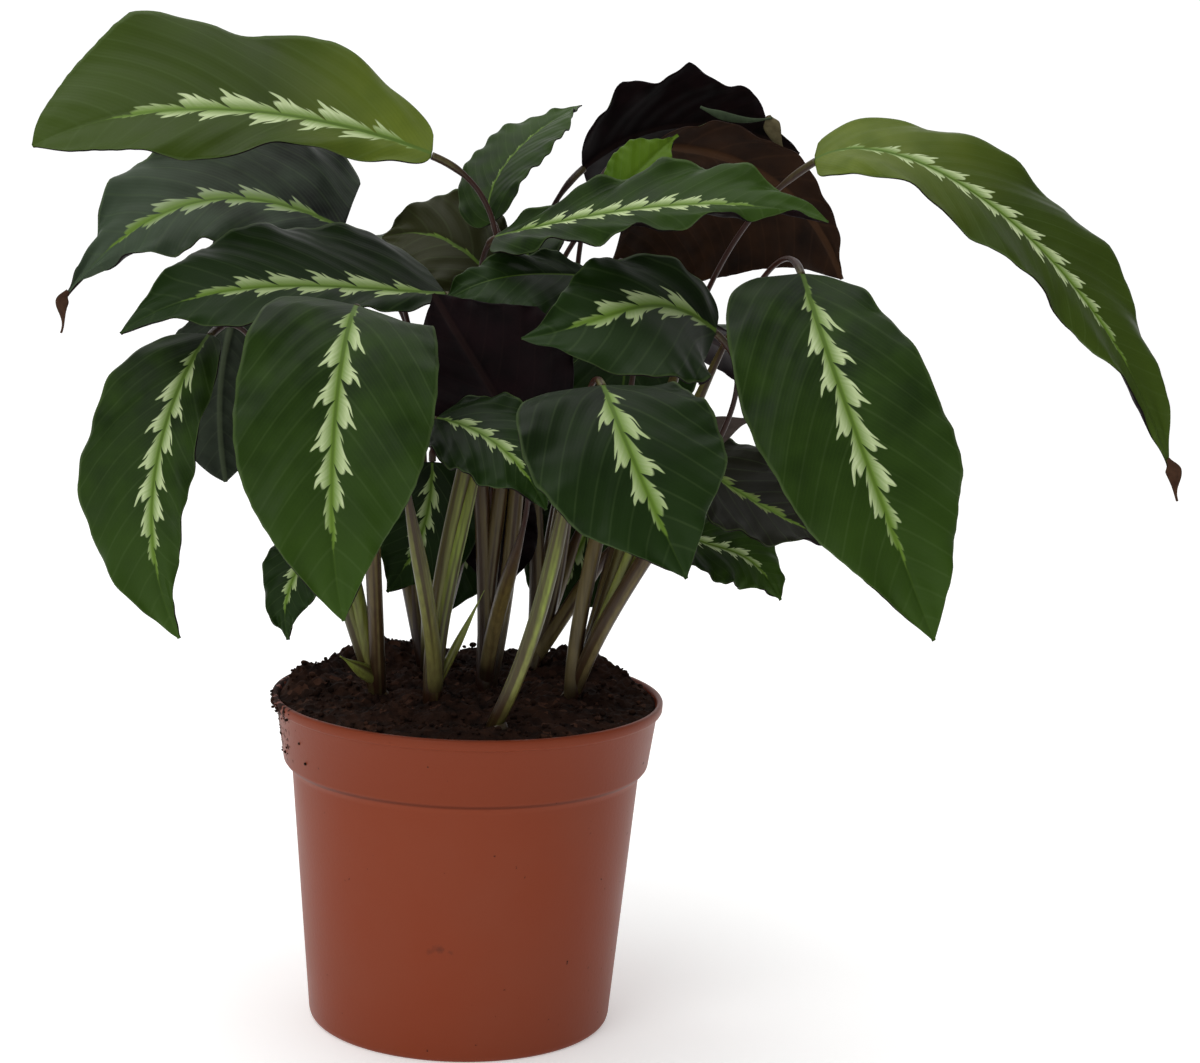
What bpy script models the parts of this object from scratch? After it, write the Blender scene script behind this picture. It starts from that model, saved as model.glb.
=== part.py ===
"""A potted calathea: a plastic nursery pot, its soil, and leaves on long stalks.

Everything is in metres, with +Z up. The origin is the middle of the pot's foot, on
the ground, and -Y is the side that the plant is seen from. Each leaf blade is a node of
its own. The stalks that rise from one crown are one node, with the sheath that they
grow out of, and each crown stands in a plain hole in the soil.
"""

import math
from dataclasses import dataclass

import bmesh
import bpy
import numpy as np
from mathutils import Vector, noise

# Pot, a nursery pot 12 cm across its rim
POT_HEIGHT = 0.1020
RIM_RADIUS = 0.0600
RIM_DEPTH = 0.0034
COLLAR_TOP_RADIUS = 0.0584
COLLAR_FOOT_RADIUS = 0.0561
COLLAR_FOOT_Z = 0.0820
BODY_TOP_RADIUS = 0.0533
BODY_TOP_Z = 0.0790
FOOT_RADIUS = 0.0466
FOOT_ROUNDING = 0.0016
FOOT_RING_WIDTH = 0.0055
FOOT_RING_HEIGHT = 0.0025
FOOT_PAD_RADIUS = 0.0150
POT_WALL = 0.0012
POT_STEPS = 36
DRAIN_HOLES = 6
DRAIN_RADIUS = 0.0045
DRAIN_CIRCLE = 0.0290
DRAIN_SIDES = 12

# Soil
GAP = 0.0003
SOIL_EDGE_DROP = 0.0012
SOIL_CROWN = 0.0035
SOIL_LUMP = 0.0024
SOIL_LUMP_SIZE = 0.0110
SOIL_RINGS = 7
HOLE_FLOOR_Z = 0.0800
HOLE_SIDES = 16

# Stalks and the crowns that they grow out of
CROWN_TOP_Z = 0.1140
CROWN_TOP_SHARE = 0.72
CROWN_SIDES = 12
STALK_ROOT_Z = 0.1070
STALK_FOOT_RADIUS = 0.0026
STALK_TOP_RADIUS = 0.0011
STALK_NECK = (0.30, 0.62)
STALK_LEAN = 0.38
STALK_RISE = 0.42
STALK_SECTIONS = 8
STALK_CROWDING = 1.4
STALK_BEVEL = 1

# Blades
BLADE_THICKNESS = 0.0007
RIB_THICKNESS = 0.0018
BASE_HALF_WIDTH = 0.0017
TIP_HALF_WIDTH = 0.0005
TIP_SLENDERNESS = 0.85
RIB_SAMPLES = 81

# Colours, linear, with roughness
POT_COLOUR = (0.235, 0.060, 0.030, 0.42)
SOIL_COLOUR = (0.012, 0.007, 0.005, 0.95)
STALK_COLOUR = (0.085, 0.060, 0.028, 0.50)
UNDERSIDE_COLOUR = (0.045, 0.012, 0.016, 0.55)
BLADE_COLOURS = {
    "dark": (0.012, 0.032, 0.010, 0.42),
    "green": (0.020, 0.052, 0.014, 0.42),
    "light": (0.060, 0.110, 0.020, 0.42),
    "new": (0.100, 0.200, 0.020, 0.42),
}

# Where each crown stands on the soil, x and y, and its radius
CROWNS = {
    "left": (-0.027, -0.008, 0.0058),
    "middle": (-0.010, -0.016, 0.0052),
    "inner": (0.005, 0.000, 0.0052),
    "front": (0.009, -0.042, 0.0048),
    "right": (0.031, -0.007, 0.0058),
    "rear": (-0.013, 0.026, 0.0058),
    "rear_right": (0.019, 0.031, 0.0056),
}


@dataclass
class Leaf:
    """One leaf. rib is four points that the midrib passes through, from base to tip.

    half_width, widest and curl may be two values: for the half on the left of the midrib
    and the half on the right, seen from the base with the upper side up. widest is where
    along the leaf a half is widest. face is the way that the upper side looks, and
    face_tip the same at the tip. fold lifts both halves into a V, and curl bends them
    back down towards the margin, in degrees. wave is how far the margin ripples, waves
    how often along the leaf, and drawn how much the tip is drawn out to a point. A low
    shoulder makes a round base. scallop is how deep the margin is cut between its points, as
    a share of the width, lobes how many points there are along the leaf, and lobe_start
    where they begin. arrive is how far the stalk runs in line with the blade
    before it meets it, as a share of the stalk, and bow shifts the stalk's middle.
    """

    name: str
    crown: str
    rib: tuple
    face: tuple
    half_width: tuple
    face_tip: tuple = None
    widest: tuple = 0.42
    fold: float = 12.0
    curl: tuple = 16.0
    wave: float = 0.0016
    waves: float = 3.5
    phase: float = 0.0
    drawn: float = 0.42
    shoulder: float = 0.45
    scallop: tuple = (0.0, 0.0)
    lobes: float = 4.0
    lobe_start: float = 0.0
    across: int = 6
    along: int = 13
    arrive: float = 0.30
    bow: tuple = (0.0, 0.0, 0.0)
    colour: str = "green"


LEAVES = [
    Leaf("top_left", "middle",
         ((-0.015, -0.022, 0.267), (-0.051, -0.028, 0.276),
          (-0.090, -0.036, 0.277), (-0.126, -0.045, 0.266)),
         (0.00, -0.66, 0.75), (0.021, 0.036), widest=(0.66, 0.60), fold=12, curl=(14, 6),
         wave=0.0026, waves=2.4, phase=-0.4, drawn=0.05, shoulder=0.25, scallop=(0.0, 0.11),
         lobes=2.4, lobe_start=0.33, colour="light"),
    Leaf("left_back", "rear",
         ((-0.044, 0.050, 0.240), (-0.069, 0.046, 0.248),
          (-0.098, 0.038, 0.244), (-0.128, 0.030, 0.217)),
         (0.00, -0.60, 0.80), (0.022, 0.034), widest=(0.42, 0.19), wave=0.0024, waves=4.5,
         drawn=0.80, shoulder=0.3),
    Leaf("mid_left", "middle",
         ((-0.010, -0.025, 0.227), (-0.038, -0.038, 0.229),
          (-0.071, -0.052, 0.228), (-0.099, -0.062, 0.216)),
         (0.00, -0.54, 0.84), (0.019, 0.028), widest=(0.62, 0.35), shoulder=0.32),
    Leaf("low_left", "left",
         ((-0.077, -0.038, 0.214), (-0.086, -0.050, 0.195),
          (-0.091, -0.054, 0.164), (-0.083, -0.052, 0.128)),
         (-0.35, -0.90, 0.25), (0.012, 0.023), widest=(0.42, 0.45), drawn=0.30),
    Leaf("front_left", "left",
         ((-0.034, -0.062, 0.226), (-0.037, -0.086, 0.210),
          (-0.038, -0.097, 0.178), (-0.034, -0.098, 0.144)),
         (0.00, -0.95, 0.30), (0.027, 0.0275), widest=(0.36, 0.40), drawn=0.25, shoulder=0.25,
         arrive=0.12),
    Leaf("left_inner", "left",
         ((-0.072, 0.000, 0.220), (-0.077, 0.012, 0.203),
          (-0.079, 0.020, 0.184), (-0.077, 0.022, 0.162)),
         (0.00, 0.90, 0.30), 0.019, widest=0.55, drawn=0.0, along=12, colour="dark"),
    Leaf("low_small_left", "left",
         ((-0.044, -0.026, 0.164), (-0.048, -0.035, 0.152),
          (-0.053, -0.039, 0.140), (-0.053, -0.036, 0.125)),
         (-0.20, -0.90, 0.30), 0.010, across=4, along=10, colour="dark"),
    Leaf("centre", "right",
         ((0.069, -0.030, 0.219), (0.051, -0.042, 0.227),
          (0.034, -0.054, 0.224), (0.012, -0.060, 0.218)),
         (0.00, -0.75, 0.66), (0.031, 0.019), bow=(0.0, -0.014, 0.0)),
    Leaf("front_centre", "front",
         ((0.034, -0.088, 0.209), (0.039, -0.104, 0.198),
          (0.047, -0.112, 0.181), (0.057, -0.112, 0.161)),
         (0.10, -0.93, 0.35), (0.025, 0.028), widest=(0.42, 0.32), shoulder=0.30, bow=(0.010, 0.0, 0.0)),
    Leaf("top_centre", "inner",
         ((0.004, -0.026, 0.244), (0.036, -0.042, 0.253),
          (0.068, -0.050, 0.257), (0.097, -0.055, 0.253)),
         (0.00, -0.55, 0.83), (0.019, 0.0135), widest=(0.60, 0.30), wave=0.0024, waves=4.5, arrive=0.10,
         bow=(0.0, 0.020, 0.0)),
    Leaf("arch_left", "inner",
         ((0.003, 0.005, 0.246), (0.004, 0.015, 0.259),
          (0.015, 0.030, 0.272), (0.030, 0.050, 0.281)),
         (-0.50, -0.60, 0.50), 0.014, wave=0.0006),
    Leaf("top_back", "rear_right",
         ((0.031, 0.045, 0.262), (0.047, 0.055, 0.272),
          (0.070, 0.062, 0.276), (0.101, 0.060, 0.268)),
         (0.00, 0.75, 0.65), (0.024, 0.024), scallop=(0.0, 0.16), lobe_start=0.06, wave=0.0016, waves=4),
    Leaf("brown_back", "rear_right",
         ((0.053, 0.030, 0.270), (0.072, 0.038, 0.268),
          (0.095, 0.042, 0.257), (0.114, 0.038, 0.230)),
         (0.20, 0.80, 0.50), (0.066, 0.012), widest=(0.34, 0.42), bow=(0.010, 0.008, 0.0)),
    Leaf("far_right", "right",
         ((0.097, -0.015, 0.269), (0.130, -0.030, 0.268),
          (0.170, -0.042, 0.237), (0.200, -0.048, 0.186)),
         (0.35, -0.60, 0.70), (0.022, 0.018), widest=(0.45, 0.40), drawn=0.25, wave=0.0020, shoulder=0.35,
         colour="light"),
    Leaf("right_front", "right",
         ((0.091, -0.050, 0.238), (0.099, -0.077, 0.211),
          (0.112, -0.088, 0.178), (0.128, -0.088, 0.141)),
         (0.10, -0.93, 0.35), (0.026, 0.029), widest=(0.50, 0.35), drawn=0.25, shoulder=0.35),
    Leaf("new_leaf", "inner",
         ((0.038, -0.004, 0.255), (0.045, -0.002, 0.262),
          (0.052, 0.002, 0.269), (0.058, 0.005, 0.274)),
         (0.00, -0.90, 0.40), 0.009, wave=0.0004, drawn=0.80, along=10, across=4, colour="new"),
    Leaf("left_centre_back", "rear",
         ((0.003, 0.025, 0.229), (-0.006, 0.030, 0.236),
          (-0.017, 0.035, 0.240), (-0.031, 0.040, 0.238)),
         (0.00, -0.80, 0.60), (0.026, 0.018), across=4, along=10),
    Leaf("low_right", "right",
         ((0.066, 0.012, 0.176), (0.080, 0.007, 0.167),
          (0.094, 0.002, 0.160), (0.112, -0.003, 0.152)),
         (0.00, -0.50, 0.85), (0.022, 0.018), along=12, colour="dark"),
    Leaf("low_right_small", "rear_right",
         ((0.065, 0.025, 0.151), (0.076, 0.025, 0.146),
          (0.087, 0.025, 0.142), (0.098, 0.025, 0.129)),
         (0.00, -0.60, 0.70), 0.014, across=4, along=10),
    Leaf("purple_centre", "inner",
         ((0.012, -0.046, 0.188), (0.005, -0.050, 0.201),
          (-0.004, -0.051, 0.215), (-0.013, -0.051, 0.229)),
         (0.00, 0.90, 0.30), (0.026, 0.026), along=12),
    Leaf("dark_centre", "middle",
         ((-0.011, -0.060, 0.195), (0.000, -0.069, 0.193),
          (0.011, -0.076, 0.186), (0.020, -0.080, 0.173)),
         (0.00, -0.60, 0.75), 0.016, along=12, colour="dark"),
    Leaf("low_centre", "inner",
         ((0.006, 0.0135, 0.167), (0.007, 0.015, 0.153),
          (0.008, 0.016, 0.141), (0.007, 0.016, 0.128)),
         (0.00, 0.90, 0.30), 0.013, across=4, along=10, colour="dark"),
    Leaf("low_middle", "rear",
         ((-0.013, 0.009, 0.172), (-0.014, 0.010, 0.157),
          (-0.018, 0.011, 0.144), (-0.026, 0.010, 0.131)),
         (0.00, -0.90, 0.30), 0.017, across=4, along=10, colour="dark"),
    Leaf("low_back_centre", "rear",
         ((0.002, 0.040, 0.162), (-0.001, 0.048, 0.147),
          (-0.004, 0.052, 0.132), (-0.008, 0.050, 0.117)),
         (0.00, -0.90, 0.30), 0.021, across=4, along=10, colour="dark"),
    Leaf("low_back_right", "rear_right",
         ((0.040, 0.047, 0.156), (0.036, 0.052, 0.142),
          (0.029, 0.056, 0.127), (0.022, 0.056, 0.114)),
         (0.00, -0.90, 0.30), 0.020, across=4, along=10, colour="dark"),
    Leaf("centre_left_top", "right",
         ((0.034, -0.020, 0.233), (0.018, -0.030, 0.234),
          (0.002, -0.037, 0.232), (-0.012, -0.040, 0.224)),
         (0.00, -0.60, 0.80), (0.019, 0.010), across=4, along=10, colour="dark"),
    Leaf("inner_left", "rear",
         ((0.014, 0.008, 0.238), (0.014, 0.010, 0.222),
          (0.014, 0.011, 0.205), (0.013, 0.011, 0.188)),
         (0.00, -0.90, 0.30), 0.020, across=4, along=10, bow=(0.0, 0.022, 0.0), arrive=0.22,
         colour="dark"),
    Leaf("inner_right", "rear_right",
         ((0.045, 0.014, 0.229), (0.046, 0.018, 0.213),
          (0.045, 0.020, 0.195), (0.042, 0.020, 0.177)),
         (0.00, -0.90, 0.30), (0.024, 0.029), across=4, along=10, bow=(0.0, 0.034, 0.0), arrive=0.26,
         colour="dark"),
    Leaf("back_low_left", "rear",
         ((-0.032, 0.044, 0.166), (-0.044, 0.062, 0.170),
          (-0.058, 0.082, 0.160), (-0.067, 0.097, 0.136)),
         (-0.20, 0.30, 0.90), 0.019, across=4, along=10),
    Leaf("back_left", "rear",
         ((-0.030, 0.060, 0.222), (-0.050, 0.084, 0.234),
          (-0.071, 0.112, 0.228), (-0.087, 0.135, 0.198)),
         (-0.20, 0.30, 0.90), 0.025),
    Leaf("back_centre", "rear",
         ((0.004, 0.060, 0.222), (0.004, 0.090, 0.238),
          (0.004, 0.122, 0.230), (0.004, 0.148, 0.198)),
         (0.00, 0.30, 0.90), 0.027),
    Leaf("back_right", "rear_right",
         ((0.040, 0.060, 0.197), (0.062, 0.084, 0.207),
          (0.086, 0.106, 0.199), (0.104, 0.124, 0.171)),
         (0.20, 0.30, 0.90), 0.026),
]

# Sheaths with no leaf yet, fused to their crown: crown, tip, radius
SHOOTS = [
    ("left", (-0.0385, -0.020, 0.1170), 0.0024),
    ("middle", (0.0040, -0.018, 0.1380), 0.0014),
]


def clear_scene():
    for obj in list(bpy.data.objects):
        bpy.data.objects.remove(obj)


def make_collection(name, hidden=False):
    collection = bpy.data.collections.new(name)
    collection.hide_render = hidden
    bpy.context.scene.collection.children.link(collection)
    return collection


def make_material(name, colour):
    material = bpy.data.materials.new(name)
    material.use_nodes = True
    shader = material.node_tree.nodes["Principled BSDF"]
    shader.inputs["Base Color"].default_value = (*colour[:3], 1.0)
    shader.inputs["Roughness"].default_value = colour[3]
    material.diffuse_color = (*colour[:3], 1.0)
    return material


def make_object(name, mesh, collection, *materials):
    obj = bpy.data.objects.new(name, mesh)
    collection.objects.link(obj)
    for material in materials:
        mesh.materials.append(material)
    return obj


def smoothstep(low, high, value):
    x = np.clip((value - low) / (high - low), 0.0, 1.0)
    return x * x * (3 - 2 * x)


# Turned pieces

def turned(name, profile, collection, material):
    """The profile, points of (radius, height), turned round the Z axis."""
    mesh = bpy.data.meshes.new(name)
    points = [(r, 0.0, z) for r, z in profile]
    mesh.from_pydata(points, [(i, i + 1) for i in range(len(points) - 1)], [])
    obj = make_object(name, mesh, collection, material)
    screw = obj.modifiers.new("Turn", "SCREW")
    screw.steps = POT_STEPS
    screw.render_steps = POT_STEPS
    screw.use_merge_vertices = True
    screw.merge_threshold = 0.00005
    return obj


def inner_wall():
    """The inside of the pot's wall, as (radius, height) from the floor up to the rim."""
    floor_z = FOOT_RING_HEIGHT + POT_WALL
    return [
        (FOOT_RADIUS - POT_WALL - 0.0006, floor_z),
        (BODY_TOP_RADIUS - POT_WALL, BODY_TOP_Z),
        (COLLAR_FOOT_RADIUS - POT_WALL, COLLAR_FOOT_Z + 0.0008),
        (COLLAR_TOP_RADIUS - POT_WALL, POT_HEIGHT - RIM_DEPTH),
        (RIM_RADIUS - 0.0021, POT_HEIGHT - 0.0012),
    ]


def pot_profile():
    """Inner floor, inner wall, rim, the outside, then the foot ring and the pad in the middle."""
    floor_z = FOOT_RING_HEIGHT + POT_WALL
    ring_inside = FOOT_RADIUS - FOOT_RING_WIDTH
    return [
        (0.0, floor_z),
        *inner_wall(),
        (RIM_RADIUS - 0.0014, POT_HEIGHT),
        (RIM_RADIUS - 0.0004, POT_HEIGHT),
        (RIM_RADIUS, POT_HEIGHT - 0.0006),
        (RIM_RADIUS - 0.0002, POT_HEIGHT - RIM_DEPTH + 0.0006),
        (COLLAR_TOP_RADIUS, POT_HEIGHT - RIM_DEPTH),
        (COLLAR_FOOT_RADIUS, COLLAR_FOOT_Z),
        (COLLAR_FOOT_RADIUS - 0.0008, COLLAR_FOOT_Z - 0.0012),
        (BODY_TOP_RADIUS + 0.0003, BODY_TOP_Z + 0.0004),
        (BODY_TOP_RADIUS, BODY_TOP_Z - 0.0010),
        (FOOT_RADIUS + 0.0002, FOOT_ROUNDING + 0.0006),
        (FOOT_RADIUS - 0.0005, 0.0005),
        (FOOT_RADIUS - FOOT_ROUNDING, 0.0),
        (ring_inside, 0.0),
        (ring_inside - 0.0006, FOOT_RING_HEIGHT),
        (FOOT_PAD_RADIUS + 0.0006, FOOT_RING_HEIGHT),
        (FOOT_PAD_RADIUS, 0.0),
        (0.0, 0.0),
    ]


def build_pot(collection, cutters):
    pot = turned("pot", pot_profile(), collection, make_material("terracotta plastic", POT_COLOUR))
    mesh = bpy.data.meshes.new("drain_holes")
    bm = bmesh.new()
    for i in range(DRAIN_HOLES):
        angle = 2 * math.pi * (i + 0.5) / DRAIN_HOLES
        made = bmesh.ops.create_cone(
            bm, cap_ends=True, segments=DRAIN_SIDES, radius1=DRAIN_RADIUS, radius2=DRAIN_RADIUS,
            depth=4 * FOOT_RING_HEIGHT)
        middle = (DRAIN_CIRCLE * math.cos(angle), DRAIN_CIRCLE * math.sin(angle), FOOT_RING_HEIGHT)
        bmesh.ops.translate(bm, verts=made["verts"], vec=middle)
    bm.to_mesh(mesh)
    bm.free()
    cutter = make_object("drain_cutter", mesh, cutters)
    cutter.hide_render = True
    cutter.display_type = "WIRE"
    cut = pot.modifiers.new("Drain holes", "BOOLEAN")
    cut.operation = "DIFFERENCE"
    cut.object = cutter
    return pot


# Soil

def soil_height(x, y):
    """The height of the soil: a low mound with lumps, level at the pot's wall."""
    edge = inner_wall()[-1][0]
    share = min(1.0, math.hypot(x, y) / edge)
    lumps = noise.noise(Vector((x, y, 0.0)) / SOIL_LUMP_SIZE)
    lumps += 0.5 * noise.noise(Vector((x, y, 0.3)) / SOIL_LUMP_SIZE * 2.3)
    mound = SOIL_CROWN * (1 - share ** 2)
    return POT_HEIGHT - SOIL_EDGE_DROP + mound + SOIL_LUMP * lumps * (1 - 0.8 * share ** 4)


def build_soil(collection, cutters):
    top_z = POT_HEIGHT - SOIL_EDGE_DROP
    side = [(r - GAP, z) for r, z in inner_wall()]
    side[0] = (side[0][0], side[0][1] + GAP)
    side[-1] = (side[-1][0], top_z)
    top = [(side[-1][0] * (1 - i / SOIL_RINGS), top_z) for i in range(1, SOIL_RINGS + 1)]
    # The outside runs down and the top runs in, so the profile starts on the axis.
    profile = [*reversed(top), *reversed(side), (0.0, side[0][1])]
    soil = turned("soil", profile, collection, make_material("potting soil", SOIL_COLOUR))
    soil.data = applied(soil)
    for vertex in soil.data.vertices:
        if vertex.co.z > top_z - 0.0001:
            vertex.co.z = soil_height(vertex.co.x, vertex.co.y)
    for name, (x, y, radius) in CROWNS.items():
        cutter = make_object(f"hole_{name}", crown_mesh(x, y, radius + GAP, radius + GAP, HOLE_FLOOR_Z,
                                                        POT_HEIGHT + 0.02, HOLE_SIDES), cutters)
        cutter.hide_render = True
        cutter.display_type = "WIRE"
        cut = soil.modifiers.new(f"Hole {name}", "BOOLEAN")
        cut.operation = "DIFFERENCE"
        cut.object = cutter
    return soil


# Leaves

def rib_controls(rib):
    """The Bezier handles of a curve that passes through four points a third apart."""
    a, b, c, d = (np.array(p, float) for p in rib)
    return a, (-5 * a + 18 * b - 9 * c + 2 * d) / 6, (2 * a - 9 * b + 18 * c - 5 * d) / 6, d


def bezier(controls, u):
    a, b, c, d = controls
    u = np.asarray(u, float)[..., None]
    v = 1 - u
    return v ** 3 * a + 3 * v * v * u * b + 3 * v * u * u * c + u ** 3 * d


def unit(vectors):
    return vectors / np.linalg.norm(vectors, axis=-1, keepdims=True)


def rib_frames(leaf):
    """Along the midrib: share of its length, points, direction, upper side and left side."""
    points = bezier(rib_controls(leaf.rib), np.linspace(0, 1, RIB_SAMPLES))
    steps = np.linalg.norm(np.diff(points, axis=0), axis=1)
    share = np.concatenate([[0.0], np.cumsum(steps)])
    ahead = unit(np.gradient(points, axis=0))
    start = unit(np.array(leaf.face, float))
    end = unit(np.array(leaf.face_tip or leaf.face, float))
    blend = smoothstep(0.0, 1.0, share / share[-1])[:, None]
    up = start * (1 - blend) + end * blend
    up = unit(up - ahead * np.sum(up * ahead, axis=1, keepdims=True))
    return share / share[-1], share[-1], points, ahead, up, np.cross(ahead, up)


def half_of(value, t):
    """The value for the half that t lies in, where a leaf's two halves differ."""
    return value[t > 0] if isinstance(value, tuple) else value


def outline(leaf, s, t):
    """The half width at a share s of the length: round at the base, drawn out at the tip."""
    turn = np.clip(s, 0, 1) ** (math.log(0.5) / math.log(half_of(leaf.widest, t)))
    body = np.sin(math.pi * turn) ** (leaf.shoulder + (TIP_SLENDERNESS - leaf.shoulder) * s)
    drawn_tip = 1 - leaf.drawn * smoothstep(0.60, 1.0, s)
    ends = BASE_HALF_WIDTH * (1 - s) + TIP_HALF_WIDTH * s
    cut = 1 - half_of(leaf.scallop, t) * np.abs(np.sin(math.pi * (leaf.lobes * s + leaf.lobe_start)))
    return np.maximum(half_of(leaf.half_width, t) * body * drawn_tip * cut, ends)


def blade_point(leaf, frames, s, t):
    """A point of the upper surface, s from base to tip and t from margin to margin."""
    share, length, points, ahead, up, side = frames
    at = [np.array([np.interp(s, share, column) for column in table.T]) for table in (points, up, side)]
    point, up_here, side_here = at
    reach = abs(t) * float(outline(leaf, s, t))
    bend = math.radians(half_of(leaf.curl, t)) / half_of(leaf.half_width, t)
    fold = math.radians(leaf.fold) * float(smoothstep(0.0, 0.12, s))
    middle = fold - bend * reach / 2
    ripple = math.sin(2 * math.pi * (leaf.waves * (s - 0.25 * abs(t))) + leaf.phase + (1.7 if t > 0 else 0))
    swell = float(smoothstep(0.0, 0.15, s) * (1 - smoothstep(0.85, 1.0, s)))
    rise = reach * math.sin(middle) + leaf.wave * ripple * t * t * swell
    return point + side_here * math.copysign(reach * math.cos(middle), t) + up_here * rise


def blade_rows(leaf):
    """Shares of the length, closer together near the base and the tip."""
    even = np.linspace(0, 1, leaf.along + 1)
    return 0.55 * even + 0.45 * (0.5 - 0.5 * np.cos(math.pi * even))


def build_blade(leaf, collection, upper, under):
    """A thin waved blade: a grid bent to the leaf's form, made solid, thicker along the midrib."""
    frames = rib_frames(leaf)
    rows = blade_rows(leaf)
    bm = bmesh.new()
    bmesh.ops.create_grid(bm, x_segments=leaf.across, y_segments=leaf.along, size=1.0)
    rib = []
    for vertex in bm.verts:
        t = vertex.co.x
        s = rows[round((vertex.co.y + 1) / 2 * leaf.along)]
        rib.append((1 - s) if abs(t) < 1e-4 else 0.0)
        vertex.co = blade_point(leaf, frames, s, t)
    bmesh.ops.triangulate(bm, faces=bm.faces[:], quad_method="ALTERNATE")
    mesh = bpy.data.meshes.new(leaf.name)
    bm.to_mesh(mesh)
    bm.free()
    obj = make_object(f"leaf_{leaf.name}", mesh, collection, upper, under)
    group = obj.vertex_groups.new(name="midrib")
    for index, weight in enumerate(rib):
        group.add([index], weight, "REPLACE")
    solid = obj.modifiers.new("Thickness", "SOLIDIFY")
    solid.thickness = RIB_THICKNESS
    solid.offset = -1.0
    solid.vertex_group = "midrib"
    solid.thickness_vertex_group = BLADE_THICKNESS / RIB_THICKNESS
    solid.material_offset = 1
    solid.material_offset_rim = 1
    mesh.shade_smooth()
    return obj


# Stalks

def crown_mesh(x, y, foot_radius, top_radius, low, high, sides):
    bm = bmesh.new()
    bmesh.ops.create_cone(bm, cap_ends=True, segments=sides, radius1=foot_radius, radius2=top_radius,
                          depth=high - low)
    bmesh.ops.translate(bm, verts=bm.verts, vec=(x, y, (low + high) / 2))
    mesh = bpy.data.meshes.new("crown")
    bm.to_mesh(mesh)
    bm.free()
    return mesh


def tube(name, points, radii, collection):
    """A round tube through the points, as a closed mesh in the collection."""
    curve = bpy.data.curves.new(name, "CURVE")
    curve.dimensions = "3D"
    curve.bevel_depth = 1.0
    curve.bevel_resolution = STALK_BEVEL
    curve.use_fill_caps = True
    spline = curve.splines.new("POLY")
    spline.points.add(len(points) - 1)
    for slot, point, radius in zip(spline.points, points, radii):
        slot.co = (*point, 1.0)
        slot.radius = radius
    guide = bpy.data.objects.new(name, curve)
    collection.objects.link(guide)
    mesh = applied(guide)
    bm = bmesh.new()
    bm.from_mesh(mesh)
    bmesh.ops.remove_doubles(bm, verts=bm.verts, dist=0.000005)
    bm.to_mesh(mesh)
    bm.free()
    bpy.data.objects.remove(guide)
    return make_object(name, mesh, collection)


def applied(obj):
    """The object's mesh as its modifiers leave it, with the modifiers then taken off."""
    graph = bpy.context.evaluated_depsgraph_get()
    graph.update()
    mesh = bpy.data.meshes.new_from_object(obj.evaluated_get(graph))
    obj.modifiers.clear()
    return mesh


def stalk_path(leaf):
    """Points and radii from inside the crown, up and over, to the base of the blade."""
    share, length, points, ahead, up, side = rib_frames(leaf)
    x, y, radius = CROWNS[leaf.crown]
    end = points[0] - ahead[0] * GAP - up[0] * RIB_THICKNESS / 2
    away = np.array([end[0] - x, end[1] - y])
    away = away / max(0.001, np.linalg.norm(away))
    root = np.array([x + away[0] * radius * 0.35, y + away[1] * radius * 0.35, STALK_ROOT_Z])
    span = np.linalg.norm(end - root)
    lift = root + np.array(leaf.bow) + np.array([*(end - root)[:2] * STALK_LEAN, STALK_RISE * span])
    arrive = end - ahead[0] * leaf.arrive * span
    u = 1 - np.linspace(1, 0, STALK_SECTIONS + 1) ** STALK_CROWDING
    radii = STALK_TOP_RADIUS + (STALK_FOOT_RADIUS - STALK_TOP_RADIUS) * (1 - smoothstep(*STALK_NECK, u))
    return bezier((root, lift, arrive, end), u), radii


def shoot_path(crown, tip, radius):
    x, y, _ = CROWNS[crown]
    root = np.array([x, y, STALK_ROOT_Z])
    tip = np.array(tip, float)
    u = np.linspace(0, 1, 6)
    points = root + (tip - root) * u[:, None]
    return points, radius * (1 - 0.93 * smoothstep(0.35, 1.0, u))


def build_stalks(crown, collection, material):
    """All the stalks of one crown, joined to the sheath that they grow out of."""
    x, y, radius = CROWNS[crown]
    sheath = crown_mesh(x, y, radius, radius * CROWN_TOP_SHARE, HOLE_FLOOR_Z + GAP, CROWN_TOP_Z, CROWN_SIDES)
    obj = make_object(f"stalks_{crown}", sheath, collection)
    loose = make_collection(f"stalks of {crown}", hidden=True)
    for leaf in LEAVES:
        if leaf.crown == crown:
            tube(f"stalk {leaf.name}", *stalk_path(leaf), loose)
    for owner, tip, shoot_radius in SHOOTS:
        if owner == crown:
            tube(f"shoot {owner}", *shoot_path(owner, tip, shoot_radius), loose)
    join = obj.modifiers.new("Join", "BOOLEAN")
    join.operation = "UNION"
    join.operand_type = "COLLECTION"
    join.collection = loose
    obj.data = applied(obj)
    obj.data.materials.clear()
    obj.data.materials.append(material)
    for piece in list(loose.objects):
        bpy.data.objects.remove(piece)
    bpy.data.collections.remove(loose)
    obj.data.shade_smooth()
    return obj


def main():
    clear_scene()
    plant = make_collection("potted calathea")
    cutters = make_collection("cutters")
    build_pot(plant, cutters)
    build_soil(plant, cutters)
    stalk_skin = make_material("stalk", STALK_COLOUR)
    for crown in CROWNS:
        build_stalks(crown, plant, stalk_skin)
    under = make_material("leaf underside", UNDERSIDE_COLOUR)
    uppers = {name: make_material(f"{name} leaf", colour) for name, colour in BLADE_COLOURS.items()}
    for leaf in LEAVES:
        build_blade(leaf, plant, uppers[leaf.colour], under)


main()
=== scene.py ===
import math
from dataclasses import dataclass
from functools import partial

import bpy
import numpy as np
from mathutils import Matrix, Vector, noise


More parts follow.
